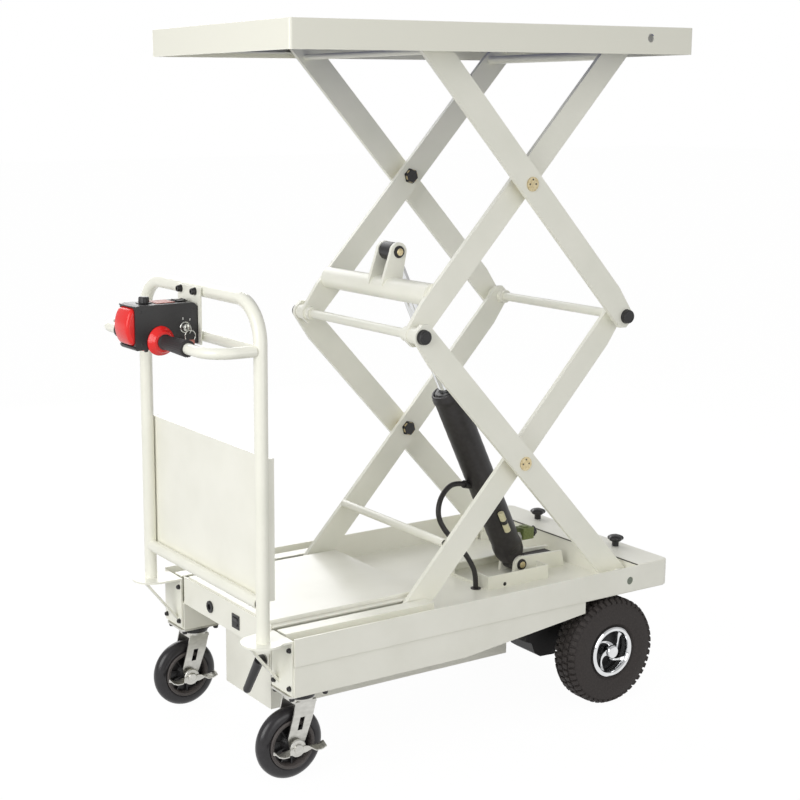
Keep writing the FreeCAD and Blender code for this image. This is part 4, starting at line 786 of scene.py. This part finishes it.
def head_trim():
    """Switch plates, a plain tag, the button's lips, the key's escutcheon and the screws of the control head."""
    low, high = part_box("controller_housing")
    key = joint_at("key_turn")
    knob = joint_at("selector")
    switch = joint_at("lift_switch")
    near = low[1]
    plates = [block((place - reach, -reach, high[2]), (place + reach, reach, high[2] + 0.0016), 0.0008)
              for place, reach in ((knob.x, 0.0125), (switch.x, 0.0140))]
    close_piece(joined(plates), "switch_plates", black_oxide, "base")
    plate = block((knob.x + 0.017, -0.022, high[2] + 0.0001), (switch.x - 0.018, 0.022, high[2] + 0.0011), 0.0005, 1)
    close_piece(plate, "plain_tag", tag_red, "base")
    bezel = []
    button_low, button_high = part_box("belly_button")
    for z0, z1 in ((button_low[2] - 0.004, button_low[2] - 0.0012), (button_high[2] + 0.0012, high[2] - 0.0008)):
        bezel.append(block((low[0] - 0.0025, low[1] + 0.001, z0), (low[0] + 0.002, high[1] - 0.001, z1), 0.0008))
    close_piece(joined(bezel), "button_lips", black_abs, "base")
    ring = turned([(0.0096, 0.0), (0.0112, 0.0), (0.0112, 0.0012), (0.0100, 0.0022), (0.0096, 0.0022)],
                  (key.x, near, key.z), -Y, 48)
    marks = [block((key.x + dx - 0.0008, near - 0.0004, key.z + dz - 0.0022),
                   (key.x + dx + 0.0008, near + 0.0004, key.z + dz + 0.0022), 0.0002, 1)
             for dx, dz in ((-0.004, 0.0175), (0.0115, 0.0145))]
    close_piece(joined([ring] + marks), "key_escutcheon", bright_steel, "base")
    screws = []
    for x, z in ((low[0] + 0.012, high[2] - 0.012), (high[0] - 0.012, high[2] - 0.016),
                 (high[0] - 0.014, low[2] + 0.014), (low[0] + 0.014, low[2] + 0.012)):
        screws.append(turned([(0.0, 0.0006), (0.0018, 0.0006), (0.0030, 0.0002), (0.0030, -0.0004), (0.0, -0.0004)],
                             (x, near, z), -Y, 24))
    close_piece(joined(screws), "head_screws", black_oxide, "base")
    foot = turned([(0.0, 0.0060), (0.0030, 0.0060), (0.0042, 0.0045), (0.0042, 0.0), (0.0, 0.0)],
                  (low[0] + 0.030, near + 0.016, low[2]), -Z, 20)
    close_piece(foot, "head_foot_screw", black_oxide, "base")


def key_and_knob():
    """Key in its silver barrel with a ring and a small tag, and the fluted selector knob."""
    key = joint_at("key_turn")
    face = key.y
    barrel = turned([(0.0, 0.0100), (0.0062, 0.0100), (0.0078, 0.0088), (0.0084, 0.0060), (0.0092, 0.0030),
                     (0.0094, 0.0004), (0.0, 0.0004)], (key.x, face, key.z), -Y, 48)
    bow = turned([(0.0035, -0.0011), (0.0088, -0.0011), (0.0094, 0.0), (0.0088, 0.0011), (0.0035, 0.0011)],
                 (key.x, face - 0.0175, key.z - 0.001), X, 40)
    shank = block((key.x - 0.0011, face - 0.012, key.z - 0.0035),
                  (key.x + 0.0011, face - 0.006, key.z + 0.0035), 0.0004, 1)
    clear_selection()
    bpy.ops.mesh.primitive_torus_add(major_radius=0.0115, minor_radius=0.0009, major_segments=48, minor_segments=10,
                                     rotation=(math.radians(90), math.radians(12), 0),
                                     location=(key.x + 0.001, face - 0.0205, key.z - 0.0150))
    loop = bpy.context.object
    bpy.ops.object.transform_apply(location=True, rotation=True, scale=True)
    metal = close_piece(joined([barrel, bow, shank, loop]), "switch_key", bright_steel, "key", 40)
    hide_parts("ignition_key")
    tag = block((key.x - 0.008, face - 0.0222, key.z - 0.0345),
                (key.x + 0.010, face - 0.0206, key.z - 0.0225), 0.0012)
    close_piece(tag, "key_tag", tag_red, "key")
    knob = joint_at("selector")
    tall = 0.0125
    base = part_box("top_knob")[1][2] - tall
    cap = turned([(0.0, tall), (0.0085, tall), (0.0100, 0.0118), (0.0106, 0.0100), (0.0110, 0.0012),
                  (0.0098, 0.0), (0.0055, 0.0), (0.0055, -0.012), (0.0, -0.012)], (knob.x, knob.y, base), Z, 96)

    def flutes(angle, radius):
        return 1 - (0.035 * (1 + math.cos(20 * angle)) / 2 if radius > 0.0095 else 0.0)
    ring_about(cap, (knob.x, knob.y, base), Z, flutes)
    mark = block((knob.x - 0.0100, -0.0008, base + 0.0118), (knob.x - 0.0040, 0.0008, base + 0.0130), 0.0003, 1)
    cap = close_piece(joined([cap, mark]), "selector_knob", black_abs, "selector", 45)
    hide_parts("top_knob")


# ---- small fittings ----
# A screw lies along X where its box is thinnest that way, or where its box is no longer along X than the first
# of these, wider than the second across and upright, and less upright than the third. Any other hangs along Z.
SIDE_SCREW_LONG, SIDE_SCREW_WIDE, SIDE_SCREW_UPRIGHT = 0.0101, 0.0095, 0.015


def cap_screw(low, high):
    """A domed socket screw over one of the CAD screws, its head away from what it holds."""
    size = high - low
    centre = (low + high) / 2
    thinnest = size.x < min(size.y, size.z)
    stubby = (size.x < SIDE_SCREW_LONG and size.y > SIDE_SCREW_WIDE
              and SIDE_SCREW_WIDE < size.z < SIDE_SCREW_UPRIGHT)
    if thinnest or stubby:
        axis, tall, radius = -X, size.x, max(size.y, size.z) / 2
        foot = Vector((high.x, centre.y, centre.z))
    else:
        axis, tall, radius = -Z, size.z, max(size.x, size.y) / 2
        foot = Vector((centre.x, centre.y, high.z))
    return turned([(0.0, tall - 0.0025), (radius * 0.45, tall - 0.0025), (radius * 0.45, tall - 0.0002),
                   (radius * 0.80, tall - 0.0002), (radius * 0.97, tall * 0.72), (radius * 0.98, 0.0012),
                   (radius * 1.12, 0.0010), (radius * 1.12, 0.0), (0.0, 0.0)], foot, axis, 24)


def screws():
    pieces = [cap_screw(low, high) for low, high in islands("frame_bolts")]
    piece = close_piece(joined(pieces), "socket_screws", black_oxide, "base", 35)
    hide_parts("frame_bolts")


def star_knob(label):
    """Moulded five-lobed knob with a domed top."""
    node = "star_knob_" + label
    low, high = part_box(node)
    centre = ((low[0] + high[0]) / 2, (low[1] + high[1]) / 2, high[2])
    knob = turned([(0.0, 0.0), (0.0125, -0.0005), (0.0172, -0.0028), (0.0197, -0.0062), (0.0190, -0.0098),
                   (0.0150, -0.0124), (0.0090, -0.0132), (0.0080, -0.0150), (0.0080, -0.0252), (0.0, -0.0252)],
                  centre, Z, 80)

    def lobes(angle, radius):
        return 1 - 0.20 * smooth_step(radius, 0.009, 0.016) * (1 - math.cos(5 * angle)) / 2
    ring_about(knob, centre, Z, lobes)
    close_piece(knob, "lobed_knob_" + label, black_abs, "knob_" + label, 60)
    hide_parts(node)


DISC_FACE = 0.2387  # how far from the centre plane the crossing pins' discs end
PIVOT_END = 0.2785  # how far from it the deck pivots end, as seen through the skirt's holes


def pin_marks():
    """Thin black discs painted as the shade in the crossing pins' spanner holes, and the shaded ends behind the
    skirt's pivot holes.
    """
    for name in ("lower", "upper"):
        point = joint_at(name + "_crossing")
        hole_shade_dots = []
        for side in (-1, 1):
            for dx, dz in ((-0.008, 0.0), (0.008, 0.0), (0.0, 0.0095)):
                # Painted shade: each spanner hole is a thin black disc set into the pin's disc.
                hole_shade_dots.append(turned([(0.0, 0.0), (0.0019, 0.0), (0.0019, -0.0012), (0.0, -0.0012)],
                                   (point.x + dx, side * DISC_FACE, point.z + dz), Y * side, 20))
        close_piece(joined(hole_shade_dots), name + "_spanner_hole_shade", black_oxide, name + "_inner_frame")
    pivot = joint_at("lift")
    ends = [turned([(0.0, 0.0), (0.0088, 0.0), (0.0088, -0.0012), (0.0, -0.0012)],
                   (pivot.x, side * PIVOT_END, pivot.z), Y * side, 40) for side in (-1, 1)]
    close_piece(joined(ends), "skirt_hole_ends", shaded_steel, "base")


def well_shade_plate():
    """A thin black plate painted as shade in the well under the cylinder's foot."""
    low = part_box("lift_pedestal")[0]
    half = 0.042
    # Painted shade: the dark inside of the well is a black plate laid on its floor.
    shade_sheet = block((low[0] + 0.004, foot_pin.y - half, DECK_TOP + 0.0001),
                (low[0] + 0.110, foot_pin.y + half, DECK_TOP + 0.0016), 0.0004, 1)
    close_piece(shade_sheet, "well_painted_shade", black_paint, "base")


def foot_plates():
    """Dark plate between the ears behind the foot pin, a black disc painted as the shade of the wire hole, and a thin
    black strip painted as the shadow line at the rear cover's edge.
    """
    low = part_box("lift_pedestal")[0]
    half = 0.0207
    plate = block((foot_pin.x + 0.036, foot_pin.y - half, foot_pin.z + 0.006),
                  (foot_pin.x + 0.112, foot_pin.y + half, foot_pin.z + 0.0085), 0.0005, 1)
    close_piece(plate, "foot_cover_plate", black_paint, "base")
    wire_hole_x = 0.278
    # Painted shade: a solid black disc fills the wire hole, standing in for its dark inside.
    hole = turned([(0.0, 0.0009), (0.0036, 0.0009), (0.0044, 0.0004), (0.0044, -0.0002), (0.0, -0.0002)],
                  (wire_hole_x, low[1], DECK_TOP + 0.009), -Y, 28)
    close_piece(hole, "wire_hole_shade", black_abs, "base")
    low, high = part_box("rear_cover")
    # Painted shadow: a thin black strip along the rear cover's left edge stands in for the dark line beside it.
    edge_shadow = block((low[0] - 0.0022, low[1] + 0.004, high[2] - 0.0030),
                 (low[0] - 0.0002, high[1] - 0.004, high[2] - 0.0008), 0.0004, 1)
    close_piece(edge_shadow, "cover_edge_shadow", black_abs, "base")


def socket_ring():
    """Bezel ring of the charge inlet, on the one of its solids that lies furthest to the left."""
    low, high = max(islands("charge_inlet"), key=lambda box: box[0].y)
    centre = (low + high) / 2
    ring = turned([(0.0085, 0.0), (0.0088, 0.0006), (0.0118, 0.0007), (0.0129, 0.0), (0.0129, -0.0020),
                   (0.0085, -0.0020)], (low.x, centre.y, centre.z), -X, 48)
    close_piece(ring, "socket_ring", black_abs, "base")


for label, side in SIDES:
    drive_wheel(label, side)
    caster_wheel(label)
    caster_trim(label)
    brake_pedal(label)
    star_knob(label)
linkage_trim()
boot()
rod_trim()
valve()
hydraulic_hose()
control_grips()
big_button()
head_trim()
key_and_knob()
screws()
socket_ring()
pin_marks()
well_shade_plate()
foot_plates()


# ---- stage ----
def build_stage():
    """A pale floor that is clear from below, a white room and three softboxes."""
    bpy.ops.mesh.primitive_plane_add(size=60, location=(0, 0, -0.0005))
    floor = bpy.context.object
    floor.name = "studio_floor"
    material = bpy.data.materials.new("white_studio_floor")
    material.use_nodes = True
    tree = material.node_tree
    tree.nodes.clear()
    path = add_node(tree, "ShaderNodeLightPath", {})
    paint = add_node(tree, "ShaderNodeBsdfDiffuse", {"Color": (0.38, 0.38, 0.37, 1)})
    glow = add_node(tree, "ShaderNodeEmission", {"Color": (1, 1, 1, 1), "Strength": 1.1})
    seen = add_node(tree, "ShaderNodeMath", {"operation": "MAXIMUM"},
                    {0: path.outputs["Is Camera Ray"], 1: path.outputs["Is Glossy Ray"]})
    share = add_node(tree, "ShaderNodeMath", {"operation": "MULTIPLY", 1: 0.88}, {0: seen.outputs[0]})
    mix = add_node(tree, "ShaderNodeMixShader", {}, {0: share.outputs[0], 1: paint.outputs[0], 2: glow.outputs[0]})
    side = add_node(tree, "ShaderNodeNewGeometry", {})
    clear = add_node(tree, "ShaderNodeBsdfTransparent", {})
    both = add_node(tree, "ShaderNodeMixShader", {},
                    {0: side.outputs["Backfacing"], 1: mix.outputs[0], 2: clear.outputs[0]})
    add_node(tree, "ShaderNodeOutputMaterial", {}, {"Surface": both.outputs[0]})
    floor.data.materials.append(material)
    world = bpy.data.worlds.new("soft_white_room")
    bpy.context.scene.world = world
    world.use_nodes = True
    tree = world.node_tree
    tree.nodes.clear()
    path = add_node(tree, "ShaderNodeLightPath", {})
    room = add_node(tree, "ShaderNodeBackground", {"Color": (1, 1, 1, 1), "Strength": 0.57})
    wall = add_node(tree, "ShaderNodeBackground", {"Color": (1, 1, 1, 1), "Strength": 1.0})
    seen = add_node(tree, "ShaderNodeMath", {"operation": "MAXIMUM"},
                    {0: path.outputs["Is Camera Ray"], 1: path.outputs["Is Transmission Ray"]})
    mix = add_node(tree, "ShaderNodeMixShader", {}, {0: seen.outputs[0], 1: room.outputs[0], 2: wall.outputs[0]})
    add_node(tree, "ShaderNodeOutputWorld", {}, {"Surface": mix.outputs[0]})
    for name, place, size, energy in (("key", (-3.4, -1.0, 1.9), 2.4, 75), ("fill", (0.0, -2.8, 1.0), 1.4, 13),
                                      ("back", (0.6, 3.0, 1.9), 2.5, 50)):
        bpy.ops.object.light_add(type="AREA", location=place)
        lamp = bpy.context.object
        lamp.name = name + "_softbox"
        lamp.data.size = size
        lamp.data.energy = energy
        lamp.rotation_euler = (Vector((0, 0, 0.75)) - Vector(place)).to_track_quat("-Z", "Y").to_euler()


build_stage()

bpy.context.scene.view_settings.view_transform = "Standard"
